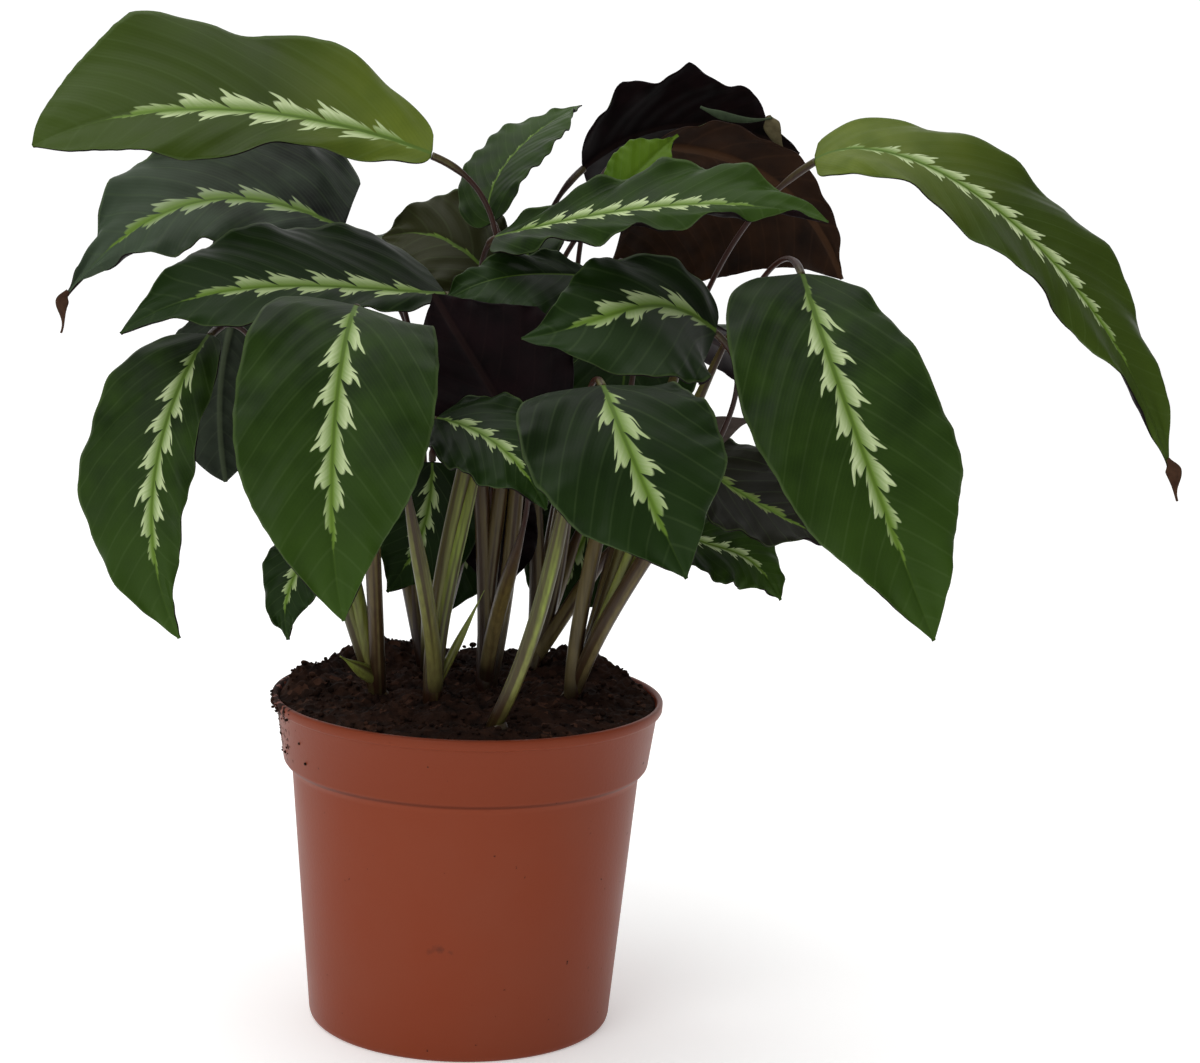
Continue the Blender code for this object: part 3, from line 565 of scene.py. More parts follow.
LEAVES = [
    Leaf("top_left", "middle", ((-15, -22, 267), (-51, -28, 276), (-90, -36, 277), (-126, -45, 266)),
         (0, -0.66, 0.75), (21, 36), widest=(0.66, 0.6), curl=(14, 6), wave=2.6, waves=2.4, phase=-0.4,
         drawn=0.05, shoulder=0.25, scallop=(0, 0.11), lobes=2.4, lobe_start=0.33, colour="light"),
    # This leaf's skin has painted shadow at its base and painted sheen towards its tip.
    Leaf("left_back", "rear", ((-44, 50, 240), (-69, 46, 248), (-98, 38, 244), (-128, 30, 217)),
         (0, -0.6, 0.8), (22, 34), widest=(0.42, 0.19), wave=2.4, waves=4.5, drawn=0.8, shoulder=0.3,
         colour="shade_and_sheen", marking=0.8),
    Leaf("mid_left", "middle", ((-10, -25, 227), (-38, -38, 229), (-71, -52, 228), (-99, -62, 216)),
         (0, -0.54, 0.84), (19, 28), widest=(0.62, 0.35), shoulder=0.32, colour="dark"),
    Leaf("low_left", "left", ((-77, -38, 214), (-86, -50, 195), (-91, -54, 164), (-83, -52, 128)),
         (-0.35, -0.9, 0.25), (12, 23), widest=(0.42, 0.45), drawn=0.3),
    Leaf("front_left", "left", ((-34, -62, 226), (-37, -86, 210), (-38, -97, 178), (-34, -98, 144)),
         (0, -0.95, 0.3), (27, 27.5), widest=(0.36, 0.4), drawn=0.25, shoulder=0.25, arrive=0.12),
    Leaf("left_inner", "left", ((-72, 0, 220), (-77, 12, 203), (-79, 20, 184), (-77, 22, 162)),
         (0, 0.9, 0.3), 19, widest=0.55, drawn=0, colour="dark"),
    Leaf("low_small_left", "left", ((-44, -26, 164), (-48, -35, 152), (-53, -39, 140), (-53, -36, 125)),
         (-0.2, -0.9, 0.3), 10, colour="dark"),
    Leaf("centre", "right", ((69, -30, 219), (51, -42, 227), (34, -54, 224), (12, -60, 218)),
         (0, -0.75, 0.66), (31, 19), bow=(0, -14, 0), colour="dark"),
    Leaf("front_centre", "front", ((34, -88, 209), (39, -104, 198), (47, -112, 181), (57, -112, 161)),
         (0.1, -0.93, 0.35), (25, 28), widest=(0.42, 0.32), shoulder=0.3, bow=(10, 0, 0), colour="dark"),
    Leaf("top_centre", "inner", ((4, -26, 244), (36, -42, 253), (68, -50, 257), (97, -55, 253)),
         (0, -0.55, 0.83), (19, 13.5), widest=(0.6, 0.3), wave=2.4, waves=4.5, arrive=0.1, bow=(0, 20, 0)),
    Leaf("arch_left", "inner", ((3, 5, 246), (4, 15, 259), (15, 30, 272), (30, 50, 281)),
         (-0.5, -0.6, 0.5), 14, wave=0.6, marking=0.25),
    Leaf("top_back", "rear_right", ((31, 45, 262), (47, 55, 272), (70, 62, 276), (101, 60, 268)),
         (0, 0.75, 0.65), (24, 24), scallop=(0, 0.16), lobe_start=0.06, wave=1.6, waves=4),
    Leaf("brown_back", "rear_right", ((53, 30, 270), (72, 38, 268), (95, 42, 257), (114, 38, 230)),
         (0.2, 0.8, 0.5), (66, 12), widest=(0.34, 0.42), bow=(10, 8, 0)),
    Leaf("far_right", "right", ((97, -15, 269), (130, -30, 268), (170, -42, 237), (200, -48, 186)),
         (0.35, -0.6, 0.7), (22, 18), widest=(0.45, 0.4), drawn=0.25, wave=2, shoulder=0.35,
         colour="light"),
    Leaf("right_front", "right", ((91, -50, 238), (99, -77, 211), (112, -88, 178), (128, -88, 141)),
         (0.1, -0.93, 0.35), (26, 29), widest=(0.5, 0.35), drawn=0.25, shoulder=0.35),
    Leaf("new_leaf", "inner", ((38, -4, 255), (45, -2, 262), (52, 2, 269), (58, 5, 274)),
         (0, -0.9, 0.4), 9, wave=0.4, drawn=0.8, colour="new", marking=0),
    Leaf("left_centre_back", "rear", ((3, 25, 229), (-6, 30, 236), (-17, 35, 240), (-31, 40, 238)),
         (0, -0.8, 0.6), (26, 18), colour="olive", marking=0.2),
    # This leaf's skin is darkened by painted deep shade.
    Leaf("low_right", "right", ((66, 12, 176), (80, 7, 167), (94, 2, 160), (112, -3, 152)),
         (0, -0.5, 0.85), (22, 18), colour="dusky", marking=0.6),
    Leaf("low_right_small", "rear_right", ((65, 25, 151), (76, 25, 146), (87, 25, 142), (98, 25, 129)),
         (0, -0.6, 0.7), 14),
    Leaf("purple_centre", "inner", ((12, -46, 188), (5, -50, 201), (-4, -51, 215), (-13, -51, 229)),
         (0, 0.9, 0.3), (26, 26)),
    Leaf("dark_centre", "middle", ((-11, -60, 195), (0, -69, 193), (11, -76, 186), (20, -80, 173)),
         (0, -0.6, 0.75), 16, colour="dark"),
    Leaf("low_centre", "inner", ((6, 13.5, 167), (7, 15, 153), (8, 16, 141), (7, 16, 128)),
         (0, 0.9, 0.3), 13, colour="dark"),
    Leaf("low_middle", "rear", ((-13, 9, 172), (-14, 10, 157), (-18, 11, 144), (-26, 10, 131)),
         (0, -0.9, 0.3), 17, colour="dark"),
    Leaf("low_back_centre", "rear", ((2, 40, 162), (-1, 48, 147), (-4, 52, 132), (-8, 50, 117)),
         (0, -0.9, 0.3), 21, colour="dark"),
    Leaf("low_back_right", "rear_right", ((40, 47, 156), (36, 52, 142), (29, 56, 127), (22, 56, 114)),
         (0, -0.9, 0.3), 20, colour="dark"),
    Leaf("centre_left_top", "right", ((34, -20, 233), (18, -30, 234), (2, -37, 232), (-12, -40, 224)),
         (0, -0.6, 0.8), (19, 10), colour="dark", marking=0),
    Leaf("inner_left", "rear", ((14, 8, 238), (14, 10, 222), (14, 11, 205), (13, 11, 188)),
         (0, -0.9, 0.3), 20, bow=(0, 22, 0), arrive=0.22, colour="dark", marking=0),
    Leaf("inner_right", "rear_right", ((45, 14, 229), (46, 18, 213), (45, 20, 195), (42, 20, 177)),
         (0, -0.9, 0.3), (24, 29), bow=(0, 34, 0), arrive=0.26, colour="dark", marking=0),
    Leaf("back_low_left", "rear", ((-32, 44, 166), (-44, 62, 170), (-58, 82, 160), (-67, 97, 136)),
         (-0.2, 0.3, 0.9), 19),
    Leaf("back_left", "rear", ((-30, 60, 222), (-50, 84, 234), (-71, 112, 228), (-87, 135, 198)),
         (-0.2, 0.3, 0.9), 25),
    Leaf("back_centre", "rear", ((4, 60, 222), (4, 90, 238), (4, 122, 230), (4, 148, 198)),
         (0, 0.3, 0.9), 27),
    Leaf("back_right", "rear_right", ((40, 60, 197), (62, 84, 207), (86, 106, 199), (104, 124, 171)),
         (0.2, 0.3, 0.9), 26),
]
print("leaves", len(LEAVES))

# %% The curve of the midrib
def rib_controls(rib):
    """The Bezier handles of a curve that passes through four points a third apart."""
    a, b, c, d = (np.array(p, float) * MM for p in rib)
    return a, (-5 * a + 18 * b - 9 * c + 2 * d) / 6, (2 * a - 9 * b + 18 * c - 5 * d) / 6, d


def bezier(controls, u):
    a, b, c, d = controls
    u = np.asarray(u, float)[..., None]
    v = 1 - u
    return v ** 3 * a + 3 * v * v * u * b + 3 * v * u * u * c + u ** 3 * d


def rib_frames(leaf):
    """Along the midrib: share of its length, length, points, direction, upper side and left side."""
    points = bezier(rib_controls(leaf.rib), np.linspace(0, 1, RIB_SAMPLES))
    steps = np.linalg.norm(np.diff(points, axis=0), axis=1)
    share = np.concatenate([[0.0], np.cumsum(steps)])
    ahead = unit(np.gradient(points, axis=0))
    up = np.array(leaf.face, float)
    up = unit(up - ahead * (ahead @ up)[:, None])
    return share / share[-1], share[-1], points, ahead, up, np.cross(ahead, up)


print("longest leaf in mm:", round(max(rib_frames(leaf)[1] for leaf in LEAVES) / MM))

# %% The blade's surface
TOOTH_DEPTH = 0.012
QUILT_HEIGHT = 0.00008
FRILL_HEIGHT = 0.0005
FRILLS_PER_WAVE = 2.6
WAVE_LEAN = 0.25
HALF_LAG = 1.7
ROW_CROWDING = 0.45
GROOVE_DEPTH = 0.0003
GROOVE_WIDTH = 0.0007


def halves(value, t):
    """The value for the half that each t lies in, where a leaf's two halves differ."""
    return np.where(t > 0, value[1], value[0]) if isinstance(value, tuple) else np.full(t.shape, value)


def outline(leaf, s, t):
    """The half width at a share s of the length: round at the base, drawn out at the tip."""
    turn = s ** (math.log(0.5) / np.log(halves(leaf.widest, t)))
    body = np.sin(math.pi * turn) ** (leaf.shoulder + (TIP_SLENDERNESS - leaf.shoulder) * s)
    drawn_tip = 1 - leaf.drawn * smoothstep(0.60, 1.0, s)
    ends = BASE_HALF_WIDTH * (1 - s) + TIP_HALF_WIDTH * s
    cut = 1 - halves(leaf.scallop, t) * np.abs(np.sin(math.pi * (leaf.lobes * s + leaf.lobe_start)))
    return np.maximum(halves(leaf.half_width, t) * MM * body * drawn_tip * cut, ends)


def blade_grid(leaf):
    """The upper surface as a grid: its points, s and t, and the distances along and across in mm."""
    share, length, points, _, up, side = rib_frames(leaf)
    even = np.linspace(0, 1, ROWS + 1)
    rows = even + ROW_CROWDING * (0.5 - 0.5 * np.cos(math.pi * even) - even)
    spread = np.linspace(-1, 1, COLUMNS + 1)
    s, t = np.meshgrid(rows, spread, indexing="ij")
    tables = (points, up, side)
    point, up_here, side_here = (
        np.stack([np.interp(s, share, column) for column in table.T], -1) for table in tables)
    width = outline(leaf, s, t)
    # Side veins end in shallow points on the margin.
    seed = float(sum(leaf.rib[0]))
    along = s * length / MM
    vein = (along - VEIN_SWEEP * (np.abs(t) * width / MM / VEIN_REACH) ** VEIN_BEND) / VEIN_SPACING
    tooth = TOOTH_DEPTH * np.abs(np.sin(math.pi * vein + seed)) * smoothstep(0.05, 0.3, s)
    reach = np.abs(t) * width * (1 - tooth * t * t)
    bend = np.radians(halves(leaf.curl, t)) / (halves(leaf.half_width, t) * MM)
    fold = math.radians(FOLD) * smoothstep(0.0, 0.12, s)
    middle = fold - bend * reach / 2
    lag = np.where(t > 0, HALF_LAG, 0.0)
    ripple = np.sin(2 * math.pi * leaf.waves * (s - WAVE_LEAN * np.abs(t)) + leaf.phase + lag)
    swell = smoothstep(0.0, 0.15, s) * (1 - smoothstep(0.85, 1.0, s))
    quilt = QUILT_HEIGHT * np.cos(2 * math.pi * vein) * smoothstep(0.05, 0.3, np.abs(t)) * swell
    frills = 2 * math.pi * FRILLS_PER_WAVE * leaf.waves
    frill = FRILL_HEIGHT * np.sin(frills * s + seed + lag) * t ** 4 * swell
    groove = -GROOVE_DEPTH * np.exp(-(reach / GROOVE_WIDTH) ** 2) * swell
    rise = reach * np.sin(middle) + leaf.wave * MM * ripple * t * t * swell + quilt + frill + groove
    sideways = np.copysign(reach * np.cos(middle), t)
    surface = point + side_here * sideways[..., None] + up_here * rise[..., None]
    return surface, s, t, along, np.sign(t) * reach / MM


print("points on a blade's upper side:", blade_grid(LEAVES[0])[1].size)

# %% The closed skin
RIB_HALF_WIDTH = 0.9


def blade_mesh(leaf):
    """The closed skin of a blade, with a map in mm and a map in shares of the length and width."""
    surface, s, t, along, across = blade_grid(leaf)
    normals = unit(np.cross(np.gradient(surface, axis=1), np.gradient(surface, axis=0)))
    rib = np.exp(-(across / RIB_HALF_WIDTH) ** 2) * (1 - s)
    thick = BLADE_THICKNESS + (RIB_THICKNESS - BLADE_THICKNESS) * rib
    under = surface - normals * thick[..., None]
    count = (ROWS + 1) * (COLUMNS + 1)
    points = np.concatenate([surface.reshape(-1, 3), under.reshape(-1, 3)])
    grid = np.arange(count).reshape(ROWS + 1, COLUMNS + 1)
    upper = np.stack([grid[:-1, :-1], grid[:-1, 1:], grid[1:, 1:], grid[1:, :-1]], -1).reshape(-1, 4)
    ring = np.concatenate([grid[0, :-1], grid[:-1, -1], grid[-1, :0:-1], grid[:0:-1, 0]])
    after = np.roll(ring, -1)
    rim = np.stack([after, ring, ring + count, after + count], -1)
    faces = np.concatenate([upper, (upper + count)[:, ::-1], rim]).tolist()
    mesh = new_mesh(leaf.name, points.tolist(), faces, smooth=True)
    sides = [0] * len(upper) + [1] * (len(faces) - len(upper))
    mesh.polygons.foreach_set("material_index", sides)
    # The markings of a small leaf are smaller in the same proportion.
    size = max(leaf.half_width) if isinstance(leaf.half_width, tuple) else leaf.half_width
    scale = MAP_UNIT * min(1.2, max(0.5, size / FULL_HALF_WIDTH))
    maps = {"leaf_mm": np.stack([along / scale, across / scale], -1), "leaf_share": np.stack([s, t], -1)}
    corners = np.empty(len(mesh.loops), dtype=np.int32)
    mesh.loops.foreach_get("vertex_index", corners)
    for name, values in maps.items():
        layer = mesh.uv_layers.new(name=name)
        flat = np.tile(values.reshape(-1, 2), (2, 1))[corners]
        layer.data.foreach_set("uv", flat.astype(np.float32).ravel())
    strength = mesh.attributes.new("marking", "FLOAT", "POINT")
    strength.data.foreach_set("value", [leaf.marking] * len(mesh.vertices))
    return mesh


print("faces on one blade:", 2 * ROWS * COLUMNS + 2 * (ROWS + COLUMNS))

# %% [markdown]
# ## Leaves: the finish
# The upper side is a satin dark green. Along the midrib runs a pale feather: groups of slanting fingers
# that lengthen towards the leaf's tip and stop, left and right in turn. The underside is purple-brown.
# A painted picture could give this, but a formula in mm along and across each leaf gives every leaf its
# own feather, and stays sharp from close by.

# %% Where a point lies on its leaf
def leaf_place(node):
    """Distances along and across the leaf in mm, which half, and the shares of length and width."""
    mm = node("UVMap", uv_map="leaf_mm")
    shares = node("UVMap", uv_map="leaf_share")
    x, y, _ = node("SeparateXYZ", [mm]).node.outputs
    s, t, _ = node("SeparateXYZ", [shares]).node.outputs
    along = node(MATH, [x, MAP_UNIT], **TIMES)
    across = node(MATH, [y, MAP_UNIT], **TIMES)
    across = node(MATH, [across], operation="ABSOLUTE")
    half = node(MATH, [y, 0.0], operation="GREATER_THAN")
    return mm, along, across, half, s, node(MATH, [t], operation="ABSOLUTE")


def vein_wave(node, along, across, spacing):
    """1 on each side vein and -1 halfway. The veins slant off the midrib and curve forward."""
    curve = node(MATH, [across, VEIN_REACH], operation="DIVIDE")
    curve = node(MATH, [curve, VEIN_BEND], operation="POWER")
    back = node(MATH, [curve, -VEIN_SWEEP, along], **TIMES_PLUS)
    turn = node(MATH, [back, 2 * math.pi / spacing], **TIMES)
    return node(MATH, [turn], operation="COSINE")


print("side veins every", VEIN_SPACING, "mm")

# %% The pale feather
MARK_LENGTH = 11.5
MARK_WIDTH = 6.2
MARK_SLANT = 1.15
FINGERS = 4.0


def feather(node, mm, along, across, half, s):
    """1 on the pale fingers and 0 off them, and the slanting distance that their streaks follow."""
    # The groups drift to and fro, over about 11 mm.
    drift = node(NOISE, {"Vector": mm, "Scale": scale_for(11.1, MAP_UNIT), "Detail": 1.0})
    slanted = node(MATH, [across, -MARK_SLANT, along], **TIMES_PLUS)
    slanted = node(MATH, [drift, 7.0, slanted], **TIMES_PLUS)
    slanted = node(MATH, [half, MARK_LENGTH * 0.5, slanted], **TIMES_PLUS)
    group = node(MATH, [slanted, 1 / MARK_LENGTH], **TIMES)
    group = node(MATH, [group], operation="FRACT")
    grown = node(STEP, {0: group, 2: 0.62, 3: 0.14})
    cut_back = node(STEP, {0: group, 1: 0.72, 3: 1.0, 4: 0.45})
    finger = node(MATH, [slanted, FINGERS / MARK_LENGTH], **TIMES)
    finger = node(MATH, [finger], operation="FRACT")
    toothed = node(STEP, {0: finger, 2: 0.8, 3: 0.62})
    starts = node(STEP, [s, 0.04, 0.22, 0.15])
    ends = node(STEP, [s, 0.58, 0.82, 1.0, 0.0])
    strength = node("Attribute", out="Fac", attribute_name="marking")
    limit = node(MATH, [grown, toothed], **TIMES)
    for factor in (cut_back, starts, ends, strength, MARK_WIDTH):
        limit = node(MATH, [limit, factor], **TIMES)
    inside = node(MATH, [limit, across], operation="SUBTRACT")
    return node(STEP, {0: inside, 2: 0.5}), slanted


print("groups of", round(FINGERS), "fingers every", MARK_LENGTH, "mm")

# %% Upper side
VEIN_GREEN = "#5F7346"
RIB_GREEN = "#4A6222"
VEINLET_SPACING = 1.6


def make_upper_side(name, base, middle, tip, pale):
    """A satin skin: waxy, so it mirrors little; its green changes from base to tip; the feather."""
    material, node, shader = new_material(name, ior=1.42, specular=0.13)
    mm, along, across, half, s, t = leaf_place(node)
    near_base = node(STEP, [s, 0.10, 0.42])
    near_tip = node(STEP, [s, 0.45])
    # Clouds of tip colour are about 14 mm wide.
    cloud = node(NOISE, {"Vector": mm, "Scale": scale_for(14.3, MAP_UNIT), "Detail": 3.0})
    patch = node(STEP, {0: cloud, 1: 0.35, 2: 0.70, 4: 0.45})
    wave = vein_wave(node, along, across, VEIN_SPACING)
    vein = node(STEP, {0: wave, 1: 0.90, 4: 0.16})
    vein = node(MATH, [vein, cloud], **TIMES)
    # Veinlets are about 0.5 mm apart on the plant, and drawn at 1.6 mm, or the render loses them.
    fine = vein_wave(node, along, across, VEINLET_SPACING)
    faint = node(STEP, {0: fine, 4: 0.10})
    margin = node(STEP, {0: t, 1: 0.96, 2: 0.99, 4: 0.30})
    mark, slanted = feather(node, mm, along, across, half, s)
    streak = node(NOISE, {"W": slanted, "Scale": scale_for(0.91, 1), "Detail": 1.0}, noise_dimensions="1D")
    streak = node(STEP, {0: streak, 1: 0.35, 2: 0.65, 4: 0.5})
    cream = node(MIX, {0: streak, 6: pale, 7: "#8FA468"}, **BLEND)
    outward = node(STEP, [across, 0.4, 3.0])
    cream = node(MIX, {0: outward, 6: "#5E7A2A", 7: cream}, **BLEND)
    narrowed = node(MATH, [s, 0.5, across], **TIMES_PLUS)
    rib = node(STEP, [narrowed, 0.4, 0.8, 1.0, 0.0])
    fading = node(STEP, [s, 0.45, 0.90, 0.9, 0.15])
    rib = node(MATH, [rib, fading], **TIMES)
    layers = ((near_base, middle), (near_tip, tip), (patch, tip), (vein, VEIN_GREEN), (faint, tip),
              (margin, VEIN_GREEN), (mark, cream), (rib, RIB_GREEN))
    colour = base
    for share, layer in layers:
        colour = node(MIX, {0: share, 6: colour, 7: layer}, **BLEND)
    gloss = node(STEP, [cloud, 0.3, 0.7, 0.42, 0.54])
    height = node(MATH, [fine, 0.10, wave], **TIMES_PLUS)
    dress(node, shader, colour, height, 0.14, 0.4, gloss)
    return material


print("veinlets every", VEINLET_SPACING, "mm")

# %% Underside
def make_underside(name, deep, bright, vein_colour):
    """A matt skin without wax, so it hardly mirrors; the midrib and the side veins are a little paler."""
    material, node, shader = new_material(name, roughness=0.60, ior=1.42, specular=0.09)
    mm, along, across, *_ = leaf_place(node)
    cloud = node(NOISE, {"Vector": mm, "Scale": scale_for(11.1, MAP_UNIT), "Detail": 3.0})
    patch = node(STEP, [cloud, 0.30, 0.70])
    colour = node(MIX, {0: patch, 6: deep, 7: bright}, **BLEND)
    wave = vein_wave(node, along, across, VEIN_SPACING)
    vein = node(STEP, {0: wave, 1: 0.90, 4: 0.14})
    rib = node(STEP, [across, 0.6, 1.2, 0.55, 0.0])
    for share in (vein, rib):
        colour = node(MIX, {0: share, 6: colour, 7: vein_colour}, **BLEND)
    dress(node, shader, colour, wave, 0.3, 0.3)
    return material


print("a purple underside as linear RGB:", [round(v, 3) for v in linear("#15080B")[:3]])

# %% Leaf materials
# Each upper side is green at the base, halfway and at the tip, and pale on its feather. Each underside
# is dark, bright in patches, and paler on its veins.
UPPER_GREENS = {
    "dark": ("in_shade", "#0B1505", "#122108", "#1C300C", "#A3B283"),
    "green": ("full_grown", "#0F1C07", "#192A09", "#304811", "#B7C597"),
    "light": ("younger", "#5E6C22", "#2D3B0D", "#384A12", "#BCC99C"),
    "new": ("new", "#3A580E", "#4A6612", "#4A6412", "#C3CFA5"),
    # This skin is painted light: its near-black base is painted shadow, and its grey tip painted sheen.
    "shade_and_sheen": ("dulled", "#030503", "#1C2615", "#445240", "#8F9C7C"),
    "olive": ("yellowing", "#24260E", "#2A2C12", "#2E3016", "#6A7044"),
    # This skin is a leaf's upper side darkened by painted deep shade; its pale streaks are the leaf's own.
    "dusky": ("old", "#1A1B0D", "#15150E", "#222318", "#6A7044"),
}
UNDER_COLOURS = {
    "purple": ("purple", "#070304", "#15080B", "#241614"),
    "brown": ("brown", "#1A100B", "#301E12", "#4A3220"),
    "grey": ("grey_green", "#1C221A", "#2C3428", "#46503A"),
}
UPPER_SIDES = {key: make_upper_side(f"calathea_leaf_satin_{kind}", *colours)
               for key, (kind, *colours) in UPPER_GREENS.items()}
UNDERSIDES = {key: make_underside(f"calathea_underside_matt_{kind}", *colours)
              for key, (kind, *colours) in UNDER_COLOURS.items()}
print("leaf skins", len(UPPER_SIDES) + len(UNDERSIDES))

# %% Leaf pieces
BACKS = {"brown_back": "brown", "left_inner": "grey"}
faces_made = 0
for leaf in LEAVES:
    blade = piece(f"blade_{leaf.name}", blade_mesh(leaf), f"leaf_{leaf.name}", "leaf",
                  UPPER_SIDES[leaf.colour], UNDERSIDES[BACKS.get(leaf.name, "purple")])
    faces_made += len(blade.data.polygons)
print("blade faces", faces_made)

# %% [markdown]
# ## Stalks
# The stalks grow in tufts, each wrapped at its foot in pale green sheaths that have dried to tan low
# down. Above the sheath a stalk is thin, hard and red-brown, and ends in a paler joint at the blade.
# Curve objects with a bevel would do, but tubes built ring by ring can also carry how far up and how
# far round each corner lies, and the colours follow those.

# %% Stalk values
CROWN_LOW_Z = 0.0800
SHEATH_TOP_Z = 0.1068
SHEATH_SHARE = 0.90
CROWN_TOP_SHARE = 0.72
STALK_ROOT_Z = 0.1070
STALK_FOOT_RADIUS = 0.0024
STALK_TOP_RADIUS = 0.0008
STALK_BURIED = 0.0080
JOINT_SWELL = 0.45
STALK_NECK = (0.30, 0.62)
STALK_LEAN = 0.38
STALK_RISE = 0.42
STALK_CROWDING = 1.4
STALK_GAP = 0.0003
STALK_ROOT_SHARE = 0.35
STALK_SECTIONS = 56
STALK_SIDES = 14
CROWN_SECTIONS = 24
CROWN_SIDES = 48
SHEATH_RIDGE = 0.05

CROWNS = {
    "left": (-0.027, -0.008, 0.0058),
    "middle": (-0.010, -0.016, 0.0052),
    "inner": (0.005, 0.000, 0.0052),
    "front": (0.009, -0.042, 0.0048),
    "right": (0.031, -0.007, 0.0058),
    "rear": (-0.013, 0.026, 0.0058),
    "rear_right": (0.019, 0.031, 0.0056),
}
SHOOTS = [
    ("left", (-0.0385, -0.020, 0.1170), 0.0024),
    ("middle", (0.0040, -0.018, 0.1380), 0.0014),
]
print("tufts:", ", ".join(CROWNS))

# %% Stalk colours, from the foot up
GREEN_STALK = [(0.00, "#43361F"), (0.08, "#76783C"), (0.30, "#82923A"), (0.46, "#5E5A26"),
               (0.62, "#3E1E14"), (0.93, "#34170F"), (1.00, "#54522A")]
BROWN_STALK = [(0.00, "#2C2116"), (0.08, "#6E6040"), (0.26, "#5E4A2C"), (0.46, "#3A2416"),
               (0.62, "#2A140E"), (0.93, "#27120C"), (1.00, "#443A20")]
# 0 is a green stalk and 1 a brown one, and a stalk that isn't named is brown.
STALK_TONES = {"front_centre": 0.0, "top_left": 0.35, "low_left": 0.2, "right_front": 0.1, "mid_left": 0.0,
               "dark_centre": 0.5, "low_centre": 0.3, "low_small_left": 0.3, "far_right": 0.55,
               "low_middle": 0.4}
print("stalks with green in them:", len(STALK_TONES))

# %% Stalk material
def make_stalk():
    """A smooth hard skin with long fibres: green or tan sheath low down, red-brown stalk above."""
    material, node, shader = new_material("leaf_stalk_smooth_and_fibrous", roughness=0.36, specular=0.35)
    uv = node("UVMap", uv_map="stalk")
    share, tone, _ = node("SeparateXYZ", [uv]).node.outputs
    place = node("TexCoord", out="Object")
    # Fibres are about 0.2 mm wide, and drawn at 1.1 mm, so that they show; they run 17 mm up.
    long_grain = (scale_for(1.11), scale_for(1.11), scale_for(16.7))
    stretched = node("Mapping", {"Vector": place, "Scale": long_grain})
    fibre = node(NOISE, {"Vector": stretched, "Scale": 1.0, "Detail": 2.0})
    cloud = node(NOISE, {"Vector": place, "Scale": scale_for(16.7), "Detail": 2.0})
    shifted = node(MATH, [cloud, 0.25, share], **TIMES_PLUS)
    shifted = node(MATH, [shifted, 0.125], operation="SUBTRACT")
    skins = []
    for stops in (GREEN_STALK, BROWN_STALK):
        ramp = node("ValToRGB", {"Fac": shifted}).node
        elements = ramp.color_ramp.elements
        while len(elements) < len(stops):
            elements.new(0.5)
        for element, (position, colour) in zip(elements, stops):
            element.position = position
            element.color = linear(colour)
        skins.append(ramp.outputs[0])
    # Red-brown stripes, a millimetre or two wide, run up the green of the sheaths.
    around = node("Attribute", out="Vector", attribute_name="around")
    stripe = node(NOISE, {"Vector": around, "Scale": 1.1, "Detail": 1.0})
    stripe = node(STEP, {0: stripe, 1: 0.47, 2: 0.58, 4: 0.80})
    dark = node(STEP, {0: fibre, 1: 0.35, 2: 0.70, 4: 0.35})
    colour = skins[0]
    for covered, layer in ((tone, skins[1]), (stripe, "#2E150D"), (dark, "#24160E")):
        colour = node(MIX, {0: covered, 6: colour, 7: layer}, **BLEND)
    dress(node, shader, colour, fibre, 0.4, 0.3)
    return material


stalk_material = make_stalk()
print("nodes in the stalk's skin:", len(stalk_material.node_tree.nodes))

# %% Stalk shapes
def stalk_path(leaf):
    """Points, radii and shares from inside the crown, up and over, to the base of the blade."""
    _, _, points, ahead, up, _ = rib_frames(leaf)
    x, y, radius = CROWNS[leaf.crown]
    end = points[0] - ahead[0] * STALK_GAP - up[0] * RIB_THICKNESS / 2
    away = np.array([end[0] - x, end[1] - y])
    away = away / max(0.001, np.linalg.norm(away))
    start = np.array([x, y]) + away * radius * STALK_ROOT_SHARE
    root = np.array([*start, STALK_ROOT_Z])
    span = np.linalg.norm(end - root)
    bow = np.array(leaf.bow) * MM
    lift = root + bow + np.array([*(end - root)[:2] * STALK_LEAN, STALK_RISE * span])
    arrive = end - ahead[0] * leaf.arrive * span
    u = 1 - np.linspace(1, 0, STALK_SECTIONS + 1) ** STALK_CROWDING
    radii = STALK_TOP_RADIUS + (STALK_FOOT_RADIUS - STALK_TOP_RADIUS) * (1 - smoothstep(*STALK_NECK, u))
    radii = radii * (1 + JOINT_SWELL * smoothstep(0.90, 0.95, u))
    path = bezier((root, lift, arrive, end), u)
    # The stalk starts inside the tuft, under the soil's surface.
    below = path[0] - unit(path[1] - path[0]) * STALK_BURIED
    return np.vstack([below, path]), np.append(radii[0], radii), np.append(0.0, u)


def shoot_path(crown, tip, radius):
    x, y, _ = CROWNS[crown]
    root = np.array([x, y, STALK_ROOT_Z])
    u = np.linspace(0, 1, 25)
    points = root + (np.array(tip) - root) * u[:, None]
    return points, radius * (1 - 0.93 * smoothstep(0.35, 1.0, u)), 0.30 * u


def tube_rings(points, radii):
    """Rings of corners round a path, without twist."""
    ahead = unit(np.gradient(points, axis=0))
    across = unit(np.cross(ahead[0], (0.3, 1.0, 0.2)))
    angles = ring_angles(STALK_SIDES)
    rings = []
    for point, direction, radius in zip(points, ahead, radii):
        across = unit(across - direction * np.dot(across, direction))
        beside = np.cross(direction, across)
        circle = np.cos(angles)[:, None] * across + np.sin(angles)[:, None] * beside
        rings.append(point + circle * radius)
    return np.array(rings)


